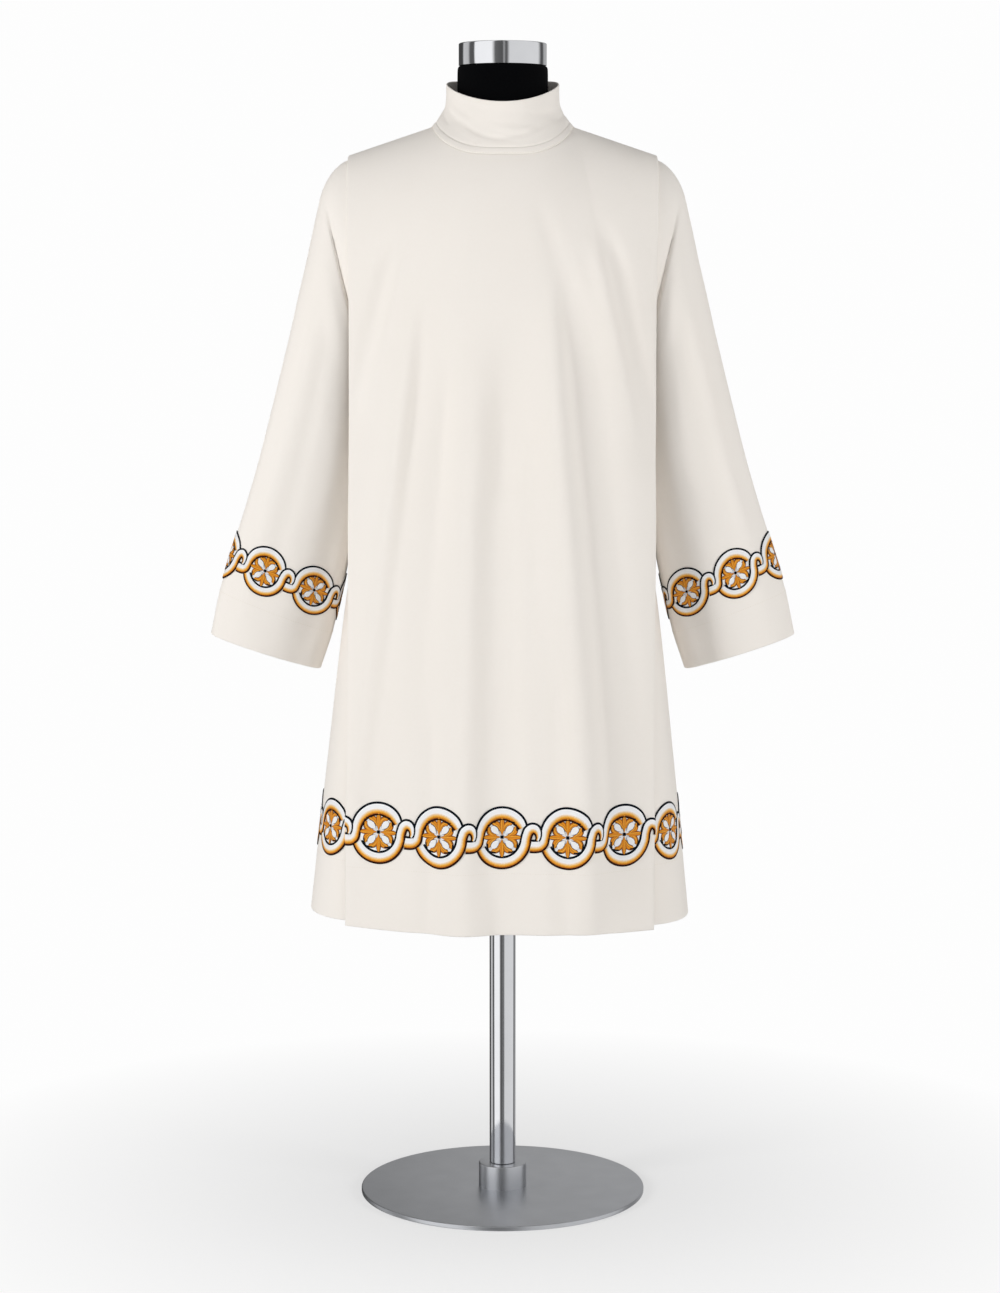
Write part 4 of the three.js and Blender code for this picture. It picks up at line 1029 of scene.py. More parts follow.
def collar_grid():
    gap = SLIT_HALF_WIDTH / NECK_HALF_WIDTH * 2
    start = 3 * NECK_STEPS + gap
    step = np.linspace(start, COLLAR_STEPS + 3 * NECK_STEPS - gap, COLLAR_STEPS * COLLAR_FINE)
    base = neckline_point(step)
    angle = np.pi + 2 * np.pi * step / COLLAR_STEPS
    shares = [np.linspace(0.02, 0.95, SEAM_ROWS), np.linspace(1.1, 5, COLLAR_ROWS)]
    share = np.concatenate(shares)[:, None]
    up = smooth_curve(range(6), COLLAR_UP, share)
    inwards = smooth_curve(range(6), COLLAR_INWARDS, share)
    top_x = COLLAR_TOP["halfWidth"] * np.cos(angle)
    top_y = COLLAR_TOP["y"] + COLLAR_TOP["halfDepth"] * np.sin(angle)
    lean, dip = COLLAR_TOP["tilt"] * np.sin(angle), COLLAR_TOP["saddle"] * np.cos(angle) ** 2
    top_z = COLLAR_TOP["z"] + lean + dip
    low_z = base[:, 2] + CLOTH / 2 + 2 * SEAM_GAP
    x = base[:, 0] + (top_x - base[:, 0]) * inwards
    y = base[:, 1] + (top_y - base[:, 1]) * inwards
    points = xyz(x, y, low_z + (top_z - low_z) * up)
    outward = xyz(x, y, 0)
    normals = grid_normals(points, outward)
    rise = collar_rise(np.degrees(angle)[None, :], up)
    outer = points + normals * (CLOTH / 2 + rise)[..., None]
    normals = grid_normals(outer, outward)
    radius = COLLAR_WALL / 2
    up_edge = unit(outer[-1:] - outer[-2:-1])
    centre = outer[-1:] - normals[-1:] * radius
    angles = np.linspace(0, np.pi, EDGE_STEPS)[1:-1, None, None]
    over = centre + radius * (normals[-1:] * np.cos(angles) + up_edge * np.sin(angles))
    over_normals = np.repeat(up_edge, len(over), axis=0)
    band, band_normals = seam_band(step, base)
    grid = np.concatenate([band, outer, over, (outer - normals * COLLAR_WALL)[::-1]])
    directions = np.concatenate([band_normals, normals, over_normals, -normals[::-1]])
    return grid, directions, (band[-1] + STITCH_LIFT * band_normals[-1], band_normals[-1])


collar_points, collar_directions, collar_seam = collar_grid()
collar_faces = grid_faces(*collar_points.shape[:2])
flat_points = collar_points.reshape(-1, 3)
collar_faces = face_outwards(flat_points, collar_faces, collar_directions.reshape(-1, 3)).tolist()
collar_uv = sheet_uv(collar_points).reshape(-1, 2)
collar = make_mesh("collar_cloth", flat_points, collar_faces, [CLOTH_FINISH], "cloth", collar_uv)
weld_and_thicken(collar, COLLAR_SHEET)
print("collar:", len(collar.data.polygons), "faces")

# %% [markdown]
# The border is a guilloche, a chain of linked roundels that is found in church work of every age.
# Each roundel is made of two bands of satin stitch. The upper band starts as the foot of a link, turns
# up and goes over the top. The lower band comes out from behind it, goes round the bottom and up, and
# curls over as a small hook. Both are drawn as one strip: a path, a half width and a rounded top. The
# path is an oval with a few points for the foot and the hook. Sizes are for a pitch of 80 mm.

# %% Bands of the border
PITCH = 80
UPPER_OVAL = (28.0, 28.4)
LOWER_OVAL = (29.0, 31.2)
STRIP_STEP, OVAL_STEP = 1.5, 9  # mm along a strip, and degrees round an oval

# Points before the upper band's oval and after the lower band's: x, y and half width.
FOOT = [
    (-46.0, -10.6, 6.9), (-39.5, -10.7, 6.9), (-34.6, -9.8, 6.7), (-30.6, -6.6, 6.0), (-28.8, -1.6, 5.3),
]
HOOK = [
    (30.4, 3.6, 5.7), (32.6, 8.4, 5.9), (36.8, 10.9, 6.1), (41.0, 9.6, 5.4),
    (43.6, 5.4, 3.9), (44.0, 0.4, 2.7), (42.8, -3.4, 1.9),
]
UPPER_ANGLES = [(174, 5.4), (156, 6.1), (135, 6.8), (90, 7.2), (45, 6.8), (25, 5.0)]
LOWER_ANGLES = [(206, 5.5), (225, 6.1), (270, 6.6), (315, 6.2), (340, 6.0), (357, 5.7)]


def oval_point(size, degrees):
    return size[0] * math.cos(math.radians(degrees)), size[1] * math.sin(math.radians(degrees))


def resample(control):
    """A smooth path and half width through control points, at even steps."""
    control = np.array(control, float)
    knots = travelled(control[:, :2])
    where = np.linspace(0, knots[-1], max(4, int(knots[-1] / STRIP_STEP)))
    return np.stack([smooth_curve(knots, control[:, k], where) for k in range(3)], axis=1)


def round_oval(oval, table):
    """Points along an oval, with the half widths of a table of angles."""
    angles, widths = np.array(table, float).T
    forward = np.sign(angles[-1] - angles[0])
    steps = int(abs(angles[-1] - angles[0]) / OVAL_STEP)
    turn = np.linspace(angles[0], angles[-1], steps)
    width = smooth_curve(forward * angles, widths, forward * turn)
    return [(*oval_point(oval, a), w) for a, w in zip(turn, width)]


upper_band = resample(FOOT + round_oval(UPPER_OVAL, UPPER_ANGLES))
lower_band = resample(round_oval(LOWER_OVAL, LOWER_ANGLES) + HOOK)
print("upper band:", len(upper_band), "steps; lower band:", len(lower_band), "steps")

# %% [markdown]
# A strip is a grid: along its path and across its width. Its top is rounded like thread over
# padding, its sides go down to the cloth, and it carries its kind, its UV map for the rows of thread
# and its place across. Outlines are thin strips along the edges of a wide one.

# %% Strips of thread
WIDEST, FULLNESS, LENS_STEPS = 1.3, 0.6, 14


def rightwards(place):
    """Directions to the right of a path."""
    forward = unit(np.gradient(place, axis=0))
    return np.stack([forward[:, 1], -forward[:, 0]], axis=1)


def strip(path, kind, height, base, columns=9, power=0.5):
    """A strip of stitches along a path of x, y and half width, with a rounded top."""
    across = np.sin(np.linspace(-np.pi / 2, np.pi / 2, columns))
    place, width = path[:, :2], path[:, 2:]
    spread = place[:, None] + rightwards(place)[:, None] * (width * across)[..., None]
    top = height * np.clip(1 - across**2, 0, 1) ** power
    level = (np.asarray(base) + np.zeros(len(path)))[:, None] + top
    uv = np.stack([travelled(place)[:, None] + 0 * spread[..., 0], across * width], axis=-1)
    return {
        "flat": spread, "level": level, "uv": uv * MM,
        "across": (across + 1) / 2 + 0 * width, "kind": kind,
    }


def edge_of(path, side, width):
    """An outline's path along one edge of a strip. side is -1 for the left edge, 1 for the right."""
    place = path[:, :2] + side * rightwards(path[:, :2]) * path[:, 2:]
    return np.concatenate([place, np.full((len(path), 1), width)], axis=1)


def lens(start, end, bend, width, kind, height, base):
    """A leaf or petal from start to end, bent aside in its middle, widest at 0.6 of its length."""
    t = np.linspace(0, 1, LENS_STEPS)[:, None]
    start, end = np.array(start, float), np.array(end, float)
    along = end - start
    aside = np.array([along[1], -along[0]]) / np.linalg.norm(along)
    place = start + along * t + aside * bend * 4 * t * (1 - t)
    half = width * np.clip(np.sin(np.pi * t**WIDEST), 0, 1) ** FULLNESS
    return strip(np.concatenate([place, half], axis=1), kind, height, base, columns=7)


print("strip helpers are ready")

# %% [markdown]
# Inside the roundel a cross of four leaves reaches to the band. Each leaf has a long middle lobe and two
# lobes that bend away from it. Four white petals lie between them. A white ground shows at the rim,
# and a small dark square marks the middle.

# %% Motifs of one roundel
VOID = (23.6, 24.4)
LIFT = {"ground": 0.25, "leaf": 0.45, "petal": 0.95, "band": 0.5}
THREAD_HEIGHT = {"leaf": 0.7, "petal": 0.65, "line": 0.6, "band": 1.0, "outline": 0.9}

# Each lobe of an arm that points to the right: start, end, bend, half width, and how far it lies over.
LOBES = [
    ((5.0, 0.6), (17.2, 13.6), 3.2, 4.3, 0.0), ((5.0, -0.6), (17.2, -13.6), -3.2, 4.3, 0.0),
    ((1.8, 0), (24.4, 0), 0, 3.3, 0.22),
]
PETAL = [(3.4, 3.4), (13.0, 13.6)]
PETAL_WIDTH = 5.0
FRAME_LINES = [[(7.6, 18.6), (11.6, 18.3), (15.6, 17.2)], [(18.2, 7.6), (18.0, 11.6), (16.8, 15.6)]]
FRAME_WIDTH = 0.9
GROUND_WIDTH, RING_STEPS = 12.2, 41
SQUARE = [(-2.0, 0, 1.9), (0, 0, 2.0), (2.0, 0, 1.9)]
SQUARE_LIFT, BAND_LIFT = 1.1, 0.2
OUTLINE = {"left": 1.55, "right": 1.3}
HOOK_END = 16  # steps of the lower band that show past a pressed edge
BAND_END = 39.4  # where a band is cut off at the end of a border


def turned_by(x, y, quarter):
    for _ in range(quarter):
        x, y = -y, x
    return x, y


def ring_path(size, width):
    rim = np.linspace(0, 2 * np.pi, RING_STEPS)
    return np.stack([size[0] * np.cos(rim), size[1] * np.sin(rim), 0 * rim + width], axis=1)


def leafed_cross():
    """Four arms of three lobes each, four petals, and the lines that frame the petals' outer ends."""
    strips = []
    for quarter in range(4):
        reach = VOID[quarter % 2] / VOID[0]
        for start, end, bend, width, over in LOBES:
            low, high = (turned_by(px * reach, py, quarter) for px, py in (start, end))
            strips.append(lens(low, high, bend, width, "leaf", THREAD_HEIGHT["leaf"], LIFT["leaf"] + over))
        low, high = turned_by(*PETAL[0], quarter), turned_by(*PETAL[1], quarter)
        strips.append(lens(low, high, 0, PETAL_WIDTH, "petal", THREAD_HEIGHT["petal"], LIFT["petal"]))
        for line in FRAME_LINES:
            path = np.array([(*turned_by(x, y, quarter), FRAME_WIDTH) for x, y in line])
            strips.append(strip(path, "navy", THREAD_HEIGHT["line"], LIFT["petal"], columns=5))
    return strips


def banded(path, base):
    """A band of satin stitch with its two outlines."""
    left, right = (edge_of(path, side, OUTLINE[name]) for side, name in ((-1, "left"), (1, "right")))
    return [
        strip(path, "band", THREAD_HEIGHT["band"], base, columns=11, power=0.4),
        strip(left, "navy", THREAD_HEIGHT["outline"], base, columns=6),
        strip(right, "brown", THREAD_HEIGHT["outline"], base, columns=6),
    ]


def roundel_strips(foot=True, hook=True):
    """All strips of one roundel, with or without the parts that link it to its neighbours."""
    rim = ring_path((VOID[0] / 2, VOID[1] / 2), GROUND_WIDTH)
    ground = strip(rim, "ground", 0.05, LIFT["ground"], columns=5)
    square = strip(np.array(SQUARE), "navy", 0.5, SQUARE_LIFT, columns=5)
    upper = upper_band if foot else upper_band[upper_band[:, 0] > -BAND_END]
    lower = lower_band if hook else lower_band[lower_band[:, 0] < BAND_END]
    under_and_over = np.sin(np.pi * np.linspace(0, 1, len(upper)))
    comes_up = ease(np.linspace(0, 1, len(lower)) * 2)
    return [
        ground, *leafed_cross(), square,
        *banded(upper, LIFT["band"] * under_and_over + BAND_LIFT),
        *banded(lower, LIFT["band"] * comes_up + BAND_LIFT),
    ]


def hook_strips():
    """The end of a hook, which comes round the pressed edge from the pleat."""
    return banded(lower_band[-HOOK_END:], LIFT["band"] + BAND_LIFT)


whole_roundel = roundel_strips()
print("strips in a roundel:", len(whole_roundel))

# %% [markdown]
# A border is laid on a cloth by walking along it. Distance along the cloth becomes x in the pattern,
# height above the edge becomes y, and the rounded top becomes a lift off the surface. The chain
# always runs to the viewer's right, so on some pieces it runs against the columns.

# %% Lay the borders
def embroider(name, cloth, height, count, first, length, direction, closed):
    """count roundels from first, a distance along the cloth, over a length. direction is 1 or -1."""
    spacing = length / count
    scale = spacing / PITCH
    placed = []
    for number in range(count):
        order = number if direction > 0 else count - 1 - number
        strips = whole_roundel if closed else roundel_strips(order > 0, order < count - 1)
        placed += [(piece, first + (number + 0.5) * spacing) for piece in strips]
    if closed and not cloth["around"]:
        start = (first if direction > 0 else first + length) - direction * PITCH / 2 * scale
        placed += [(piece, start) for piece in hook_strips()]
    points, uv, across, faces, kinds = [], [], [], [], []
    for piece, middle in placed:
        along = middle + direction * piece["flat"][..., 0] * scale
        above = height + piece["flat"][..., 1] * scale
        grid = lay(cloth, along, above, piece["level"])
        strip_faces = grid_faces(*grid.shape[:2], first=sum(map(len, points)))
        points.append(grid.reshape(-1, 3))
        uv.append(piece["uv"].reshape(-1, 2))
        across.append(piece["across"].ravel())
        faces.append(strip_faces if direction > 0 else strip_faces[:, ::-1])
        kinds.append(np.full(len(strip_faces), KINDS.index(piece["kind"])))
    points, faces, uv, kinds, across = map(np.concatenate, (points, faces, uv, kinds, across))
    materials = list(THREADS.values())
    return make_mesh(name, points, faces.tolist(), materials, "thread", uv, kinds, across)


PANEL_ROUNDELS, SIDE_ROUNDELS, CUFF_ROUNDELS = 5, 3, 6
SIDE_SHIFT, CUFF_SHIFT = 7, {"left": 8, "right": 15}
borders = {}
for side, direction in (("front", 1), ("back", -1)):
    cloth = panels[side]
    first, last = cloth["along"][cloth["face"]][[0, -1]]
    borders[side] = embroider(
        f"hem_embroidery_{side}", cloth, HEM_BORDER_HEIGHT, PANEL_ROUNDELS,
        first, last - first, direction, True,
    )
for name, hand in HANDS.items():
    cloth, length = sides[name], SIDE_ROUNDELS * PITCH
    borders[f"side_{name}"] = embroider(
        f"hem_embroidery_{name}", cloth, SIDE_BORDER_HEIGHT, SIDE_ROUNDELS,
        (cloth["length"] - length) / 2 + SIDE_SHIFT, length, hand, False,
    )
    cloth, length = sleeves[name], sleeves[name]["length"]
    borders[f"cuff_{name}"] = embroider(
        f"cuff_embroidery_{name}", cloth, CUFF_BORDER_HEIGHT, CUFF_ROUNDELS,
        0.5 * length / CUFF_ROUNDELS + CUFF_SHIFT[name], length, -hand, True,
    )
print("borders:", {name: len(piece.data.polygons) for name, piece in borders.items()})

# %% [markdown]
# Sewing thread holds the turnings. One stitch is modelled from a small sphere, pulled long and
# flattened, and copied along each seam line at an even pitch. Blind hems show only a small
# part of each stitch, so they stand barely proud of the cloth.

# %% Stitches
STITCH = {"length": 2.4, "pitch": 3.4, "width": 0.5, "flatness": 0.8}
BELOW_EDGE = 3
PLY_STOPS = [(0.3, linear(226, 217, 203)), (0.7, linear(242, 236, 226))]


def sewing_thread():
    material, tree, shader = new_material("sewing_thread")
    ply = noise(tree, object_place(tree), 2500.0, 1.0)
    finish(tree, shader, ply, 0.00005, {"Base Color": ramp(tree, ply, PLY_STOPS), "Roughness": 0.6})
    return material


def model_stitch():
    width = STITCH["width"]
    bpy.ops.object.select_all(action="DESELECT")
    bpy.ops.mesh.primitive_uv_sphere_add(segments=6, ring_count=5, radius=0.5, location=(0, 0, 0))
    stitch = bpy.context.object
    bpy.ops.object.mode_set(mode="EDIT")
    bpy.ops.transform.resize(value=(STITCH["length"], width, width * STITCH["flatness"]))
    bpy.ops.object.mode_set(mode="OBJECT")
    points = np.array([v.co for v in stitch.data.vertices])
    faces = [list(p.vertices) for p in stitch.data.polygons]
    bpy.data.objects.remove(stitch)
    return points, faces


SEWING_THREAD = sewing_thread()
STITCH_POINTS, STITCH_FACES = model_stitch()


def sew(name, lines):
    """Stitches along lines of points, each line with its surface directions."""
    points, faces = [], []
    for line, normals in lines:
        distance = travelled(line)
        for place in np.arange(STITCH["pitch"] / 2, distance[-1], STITCH["pitch"]):
            here, ahead, normal = (
                np.array([np.interp(where, distance, values[:, k]) for k in range(3)])
                for where, values in ((place, line), (place + 0.5, line), (place, normals))
            )
            normal, forward = unit(normal), unit(ahead - here)
            first = len(points) * len(STITCH_POINTS)
            axes = np.stack([forward, np.cross(normal, forward), normal])
            points.append(here + STITCH_POINTS @ axes)
            faces.extend([[v + first for v in face] for face in STITCH_FACES])
    print(name, "has", len(points), "stitches")
    return make_mesh(name, np.concatenate(points), faces, [SEWING_THREAD])


def seam_line(cloth, turning):
    """A line a little below a turning's edge along a cloth's face, with its surface directions."""
    columns = cloth["along"][cloth["face"]]
    along = np.linspace(columns[0], columns[-1], 3 * len(columns))
    above = np.full(len(along), turning - BELOW_EDGE)
    line, raised = (lay(cloth, along, above, 0 * along + lift) for lift in (STITCH_LIFT, 1 + STITCH_LIFT))
    return line, raised - line


seam_lines = {
    "hem": [seam_line(cloth, HEM_TURNING) for cloth in (*panels.values(), *sides.values())],
    "cuff": [seam_line(cloth, CUFF_TURNING) for cloth in sleeves.values()],
    "collar": [collar_seam],
}
stitches = [sew(f"{place}_stitches", lines) for place, lines in seam_lines.items()]

# %% [markdown]
# The dress form is a padded torso under stretched jersey, so its skin is one smooth surface without
# a seam in sight. It is drawn from sections, as the cloth is, with rounded ends.

# %% Form cover
FORM_COLUMNS = ("z", "w", "d", "round")
FORM_ROWS = [
    (715, 128, 82, 2), (722, 146, 95, 2), (740, 158, 103, 2.1), (780, 165, 108, 2.2), (860, 158, 106, 2.2),
    (950, 147, 99, 2.2), (1050, 152, 102, 2.3), (1126, 158, 107, 2.4), (1190, 161, 109, 2.4),
    (1250, 171, 106, 2.3), (1300, 179, 99, 2.2), (1340, 180, 87, 2), (1368, 177, 76, 1.8),
    (1382, 168, 68, 1.7), (1390.2, 157, 61, 1.55), (1395.6, 141, 56, 1.5), (1405.2, 112, 44, 1.5),
    (1410.5, 86, 45, 1.6), (1420, 70, 55, 1.85), (1436, 61.5, 56.5, 2), (1455, 59, 58, 2),
    (1486.5, 58.5, 58.5, 2), (1490.5, 57.6, 57.6, 2), (1492, 55.5, 55.5, 2),
]
FORM_ROUND, FORM_STEP = 112, 6
END_SHARES = [0.75, 0.4, 0.08]  # rings that close the ends
SOFT_ANGLE = math.radians(50)


def form_cover():
    table = [dict(zip(FORM_COLUMNS, row)) for row in FORM_ROWS][::-1]
    levels = [row["z"] for row in table][::-1]
    stretches = [
        np.linspace(low, high, max(2, int((high - low) / FORM_STEP)), endpoint=False)
        for low, high in zip(levels, levels[1:])
    ]
    z = np.concatenate([*stretches, levels[-1:]])[:, None]
    angle = np.linspace(0, 2 * np.pi, FORM_ROUND, endpoint=False)[None, :]
    power = 2 / section(table, z, "round")
    c, s = (np.sign(wave) * np.abs(wave) ** power for wave in (np.cos(angle), np.sin(angle)))
    points = xyz(section(table, z, "w") * c, section(table, z, "d") * s, z)
    low, high = ([points[end] * [share, share, 1] for share in END_SHARES] for end in (0, -1))
    points = np.concatenate([low[::-1], points, high])
    faces = grid_faces(len(points), FORM_ROUND, around=True)
    flat = points.reshape(-1, 3)
    faces = face_outwards(flat, faces, flat * [1, 1, 0]).tolist()
    bottom = list(range(FORM_ROUND))
    top = [v + (len(points) - 1) * FORM_ROUND for v in bottom]
    cover = make_mesh("form_cover", flat, faces + [bottom, top[::-1]], [JERSEY])
    edit_all(cover, bpy.ops.mesh.normals_make_consistent, inside=False)
    bpy.ops.object.shade_smooth_by_angle(angle=SOFT_ANGLE)
    return cover


form = form_cover()
print("form cover:", len(form.data.polygons), "faces")

# %% [markdown]
# The metal parts are turned on a lathe in the real thing. Each starts as a cylinder at its size and
# place, gets its steps by inset and extrude, and its edges by bevel, because a broken edge catches
# the light. Faces and edges are picked in code by where they are.

# %% Helpers for the metal parts
NEAR = 0.02  # mm
METAL_ANGLE = math.radians(35)


def start_cylinder(name, radius, low, high, sides):
    bpy.ops.object.select_all(action="DESELECT")
    bpy.ops.mesh.primitive_cylinder_add(
        vertices=sides, radius=radius * MM, depth=(high - low) * MM, location=(0, 0, (low + high) / 2 * MM)
    )
    part = bpy.context.object
    part.name = name
    bpy.ops.object.transform_apply(location=True, rotation=False, scale=False)
    return part


def pick(part, kind, test):
    """Selects the faces or edges that pass the test and leaves the part in edit mode."""
    bpy.ops.object.mode_set(mode="EDIT")
    bpy.ops.mesh.select_mode(type=kind)
    bpy.ops.mesh.select_all(action="DESELECT")
    bpy.ops.object.mode_set(mode="OBJECT")
    for item in part.data.polygons if kind == "FACE" else part.data.edges:
        item.select = test(item)
    bpy.ops.object.mode_set(mode="EDIT")


def inset_end(part, way, *insets):
    """Insets the end that looks up (1) or down (-1), by thicknesses and depths in millimetres."""
    pick(part, "FACE", lambda face: face.normal.z * way > 0.9)
    for thickness, depth in insets:
        bpy.ops.mesh.inset(thickness=thickness * MM, depth=depth * MM)
    bpy.ops.object.mode_set(mode="OBJECT")


def break_edge(part, radius, height, width, segments=3):
    """Bevels a circle of edges at a radius and height in millimetres."""
    def on_circle(edge):
        ends = [part.data.vertices[v].co / MM for v in edge.vertices]
        return all(abs(math.hypot(p.x, p.y) - radius) < NEAR and abs(p.z - height) < NEAR for p in ends)

    pick(part, "EDGE", on_circle)
    bpy.ops.mesh.bevel(offset=width * MM, segments=segments)
    bpy.ops.object.mode_set(mode="OBJECT")


def complete(part, material):
    part.data.materials.clear()
    part.data.materials.append(material)
    bpy.ops.object.shade_smooth_by_angle(angle=METAL_ANGLE)
    print(part.name, "has", len(part.data.polygons), "faces")
    return part


print("turning helpers are ready")

# %% [markdown]
# The neck cap is a chromed lid. Its top is dished very slightly inside a narrow rim, and a fine groove
# parts it from the jersey.

# %% Neck cap
CAP = {"radius": 57, "low": 1492.4, "high": 1521, "rim": 2.6, "slope": 1.2, "dish": 0.8, "middle": 30}


def neck_cap():
    cap = start_cylinder("neck_cap", CAP["radius"], CAP["low"], CAP["high"], 128)
    inset_end(cap, 1, (CAP["rim"], 0), (CAP["slope"], -CAP["dish"]), (CAP["middle"], 0))
    inset_end(cap, -1, (CAP["slope"], 0))
    break_edge(cap, CAP["radius"], CAP["high"], 1.4, 5)
    break_edge(cap, CAP["radius"], CAP["low"], 0.5, 2)
    return complete(cap, CHROME)


cap = neck_cap()

# %% [markdown]
# The pole is a chromed tube with broken edges, and the base is a round steel plate with a boss that
# holds the tube. The boss is extruded from the plate, as it would be turned from one piece.

# %% Pole and base
POLE = {"radius": 17.5, "low": 38.4, "high": 714.6, "wall": 2}
BASE = {"radius": 190, "thickness": 6, "boss": 32, "boss_height": 38}


def stand_pole():
    pole = start_cylinder("stand_tube", POLE["radius"], POLE["low"], POLE["high"], 96)
    for way in (1, -1):
        inset_end(pole, way, (POLE["wall"], 0))
    for height in (POLE["high"], POLE["low"]):
        break_edge(pole, POLE["radius"], height, 0.8)
    return complete(pole, CHROME)


def stand_base():
    base = start_cylinder("stand_plate", BASE["radius"], 0, BASE["thickness"], 160)
    pick(base, "FACE", lambda face: face.normal.z > 0.9)
    bpy.ops.mesh.inset(thickness=(BASE["radius"] - BASE["boss"]) * MM)
    rise = (BASE["boss_height"] - BASE["thickness"]) * MM
    bpy.ops.mesh.extrude_region_move(TRANSFORM_OT_translate={"value": (0, 0, rise)})
    bpy.ops.mesh.inset(thickness=(BASE["boss"] - POLE["radius"] - POLE["wall"]) * MM)
    bpy.ops.object.mode_set(mode="OBJECT")
    break_edge(base, BASE["radius"], BASE["thickness"], 1.5, 4)
    break_edge(base, BASE["radius"], 0, 1.2, 3)
    on_boss = [v.co / MM for v in base.data.vertices if v.co.z / MM > BASE["boss_height"] - 1]
    outline = max(math.hypot(p.x, p.y) for p in on_boss)
    break_edge(base, outline, BASE["boss_height"], 1.5, 4)
    return complete(base, STEEL)


pole = stand_pole()
base = stand_base()

# %% [markdown]
# Every new piece says which solid it stands for and what it rides on.

# %% Tie the pieces to the frame
def stand_for(piece, *nodes):
    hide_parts(*nodes)
    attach(piece, "root")


stand_for(front, "front_panel")
stand_for(back, "back_panel")
stand_for(collar, "collar")
stand_for(form, "form_torso")
stand_for(cap, "form_neck_cap")
stand_for(pole, "stand_pole")
stand_for(base, "stand_base")
for name in HANDS:
    stand_for(side_pieces[name], f"side_panel_{name}")
    stand_for(sleeve_pieces[name], f"sleeve_{name}")
    stand_for(borders[f"side_{name}"], f"hem_border_{name}")
    stand_for(borders[f"cuff_{name}"], f"cuff_border_{name}")
for side in panels:
    stand_for(borders[side], f"hem_border_{side}")
for piece in stitches:
    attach(piece, "root")

# %% [markdown]
# The studio is plain: a pale floor that fades into white, a soft light from each side and one from
# behind the camera, and white all round. Polished metal mirrors what stands in a studio, so only its
# reflections see a few dark stripes in the white.

# %% Floor, light and surroundings
BACKGROUND = (0.985, 0.985, 0.985, 1)
AMBIENT = 0.48
AMBIENT_LEVEL, AMBIENT_ABOVE = 1.2 * AMBIENT, -0.8 * AMBIENT
FLOOR_RADIUS, FLOOR_DROP = 60.0, 0.0005
FLOOR_FADE = {"From Min": 0.2, "From Max": 0.9, "To Min": 0.55}
LIGHT_AIM = (0, 0, 0.9)


def studio_floor():
    bpy.ops.object.select_all(action="DESELECT")
    bpy.ops.mesh.primitive_circle_add(
        vertices=96, radius=FLOOR_RADIUS, fill_type="NGON", location=(0, 0, -FLOOR_DROP)
    )
    floor = bpy.context.object
    floor.name = "studio_floor"
    material, tree, shader = new_material("pale_floor")
    length = add_node(tree, "ShaderNodeVectorMath", {0: object_place(tree)}, operation="LENGTH")
    fade = add_node(tree, "ShaderNodeMapRange", {"Value": length.outputs["Value"], **FLOOR_FADE})
    ray = add_node(tree, "ShaderNodeLightPath").outputs["Is Camera Ray"]
    strength = compute(tree, "MULTIPLY_ADD", ray, 1 - AMBIENT, AMBIENT)
    glow = add_node(tree, "ShaderNodeEmission", {"Color": BACKGROUND, "Strength": strength})
    shader.inputs["Base Color"].default_value = (0.93, 0.93, 0.93, 1)
    shader.inputs["Roughness"].default_value = 0.7
    mixed = mix_shaders(tree, fade.outputs[0], shader, glow)
    output = next(n for n in tree.nodes if n.type == "OUTPUT_MATERIAL")
    tree.links.new(mixed.outputs[0], output.inputs["Surface"])
    floor.data.materials.append(material)
    floor.visible_glossy = False


def mix_shaders(tree, share, first, second):
    inputs = {"Fac": share, 1: first.outputs[0], 2: second.outputs[0]}
    return add_node(tree, "ShaderNodeMixShader", inputs)


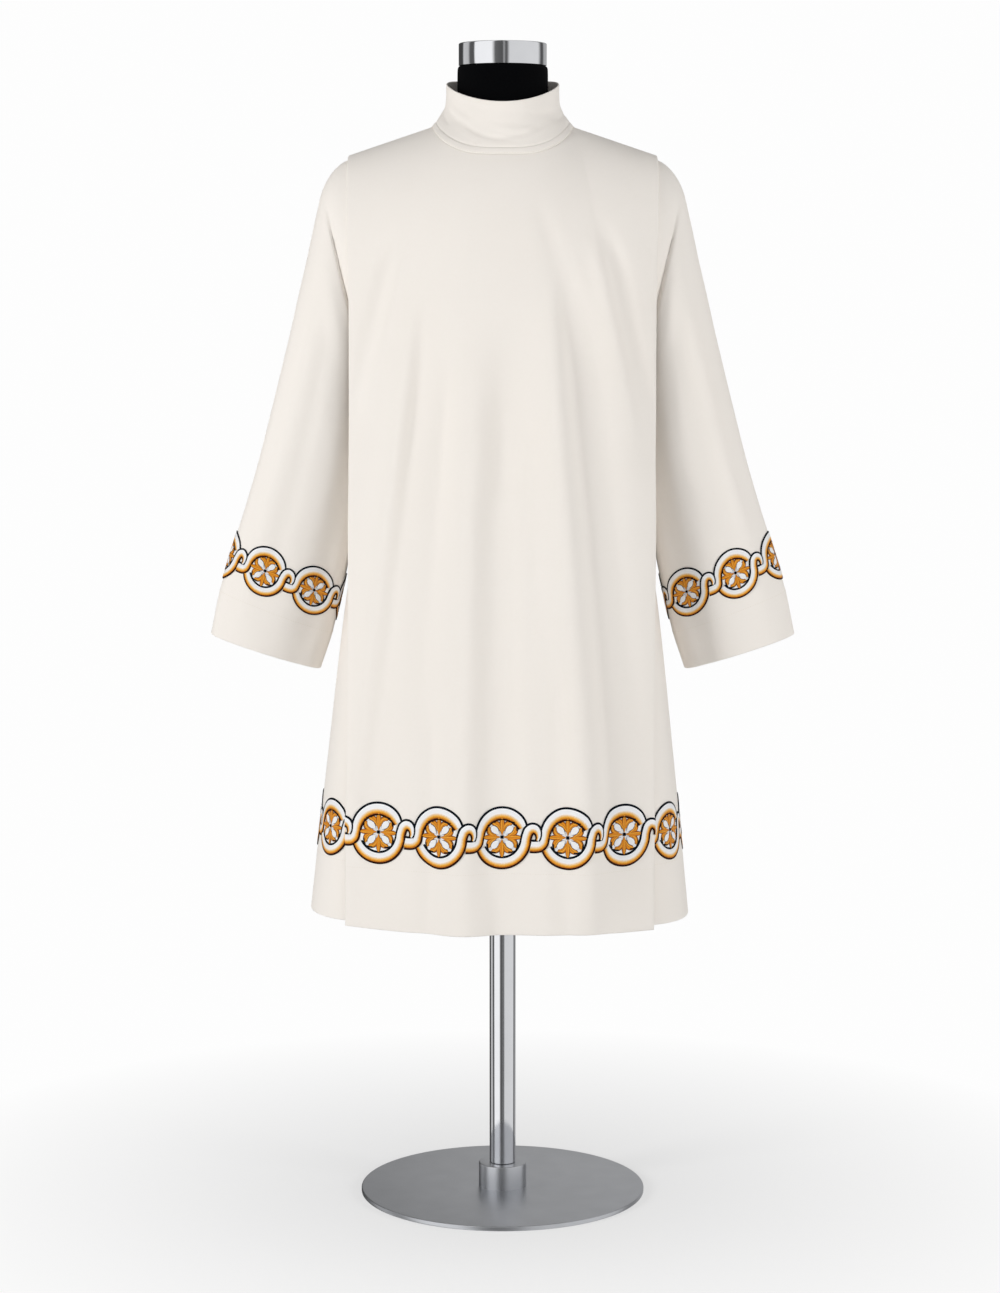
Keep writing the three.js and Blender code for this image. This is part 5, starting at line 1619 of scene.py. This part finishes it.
# Brightness of what metal mirrors, by direction round the studio: 0 and 1 are behind the form, 0.5
# is the camera's side, and lower values are on the left.
MIRRORED = [
    (0.0, 0.5), (0.05, 0.06), (0.14, 0.06), (0.16, 0.65), (0.215, 0.6), (0.235, 0.12), (0.275, 0.1),
    (0.285, 1.1), (0.42, 1.1), (0.445, 0.15), (0.5, 0.1), (0.51, 0.45), (0.52, 0.12), (0.532, 0.12),
    (0.55, 0.78), (0.795, 0.82), (0.83, 0.1), (0.857, 0.1), (0.88, 0.45), (1.0, 0.5),
]


def surroundings():
    world = bpy.data.worlds.new("studio")
    bpy.context.scene.world = world
    world.use_nodes = True
    tree = world.node_tree
    tree.nodes.clear()
    ray = add_node(tree, "ShaderNodeLightPath").outputs
    direction = add_node(tree, "ShaderNodeTexCoord").outputs["Generated"]
    part = add_node(tree, "ShaderNodeSeparateXYZ", {"Vector": direction}).outputs
    turn = compute(tree, "ARCTAN2", part["X"], compute(tree, "MULTIPLY", part["Y"], -1.0))
    share = compute(tree, "MULTIPLY_ADD", turn, 1 / (2 * math.pi), 0.5)
    stripes = ramp(tree, share, [(place, (v, v, v)) for place, v in MIRRORED])
    above = compute(tree, "MAXIMUM", part["Z"], 0.0)
    dimmed = compute(tree, "MULTIPLY_ADD", above, AMBIENT_ABOVE, AMBIENT_LEVEL)
    soft, mirrored, seen = (
        add_node(tree, "ShaderNodeBackground", {"Color": colour, "Strength": strength})
        for colour, strength in (((1, 0.995, 0.99, 1), dimmed), (stripes, 1.0), (BACKGROUND, 1.0))
    )
    lit = mix_shaders(tree, ray["Is Glossy Ray"], soft, mirrored)
    shown = mix_shaders(tree, ray["Is Camera Ray"], lit, seen)
    add_node(tree, "ShaderNodeOutputWorld", {"Surface": shown.outputs[0]})


def soft_light(name, place, size, power):
    data = bpy.data.lights.new(name, "AREA")
    data.shape = "DISK"
    data.size = size
    data.energy = power
    light = add_object(name, data)
    light.location = place
    back = [p - a for p, a in zip(place, LIGHT_AIM)]
    pitch = math.atan2(math.hypot(back[0], back[1]), back[2])
    light.rotation_euler = (pitch, 0, math.atan2(back[0], -back[1]))
    light.visible_glossy = False


studio_floor()
surroundings()
soft_light("key_light", (-3.7, -2.5, 1.6), 1.5, 106)
soft_light("fill_light", (4.2, -2.3, 1.5), 1.8, 84)
soft_light("front_light", (0.3, -5.0, 1.3), 2.6, 26)
bpy.context.scene.view_settings.view_transform = "Standard"
print("studio is lit")
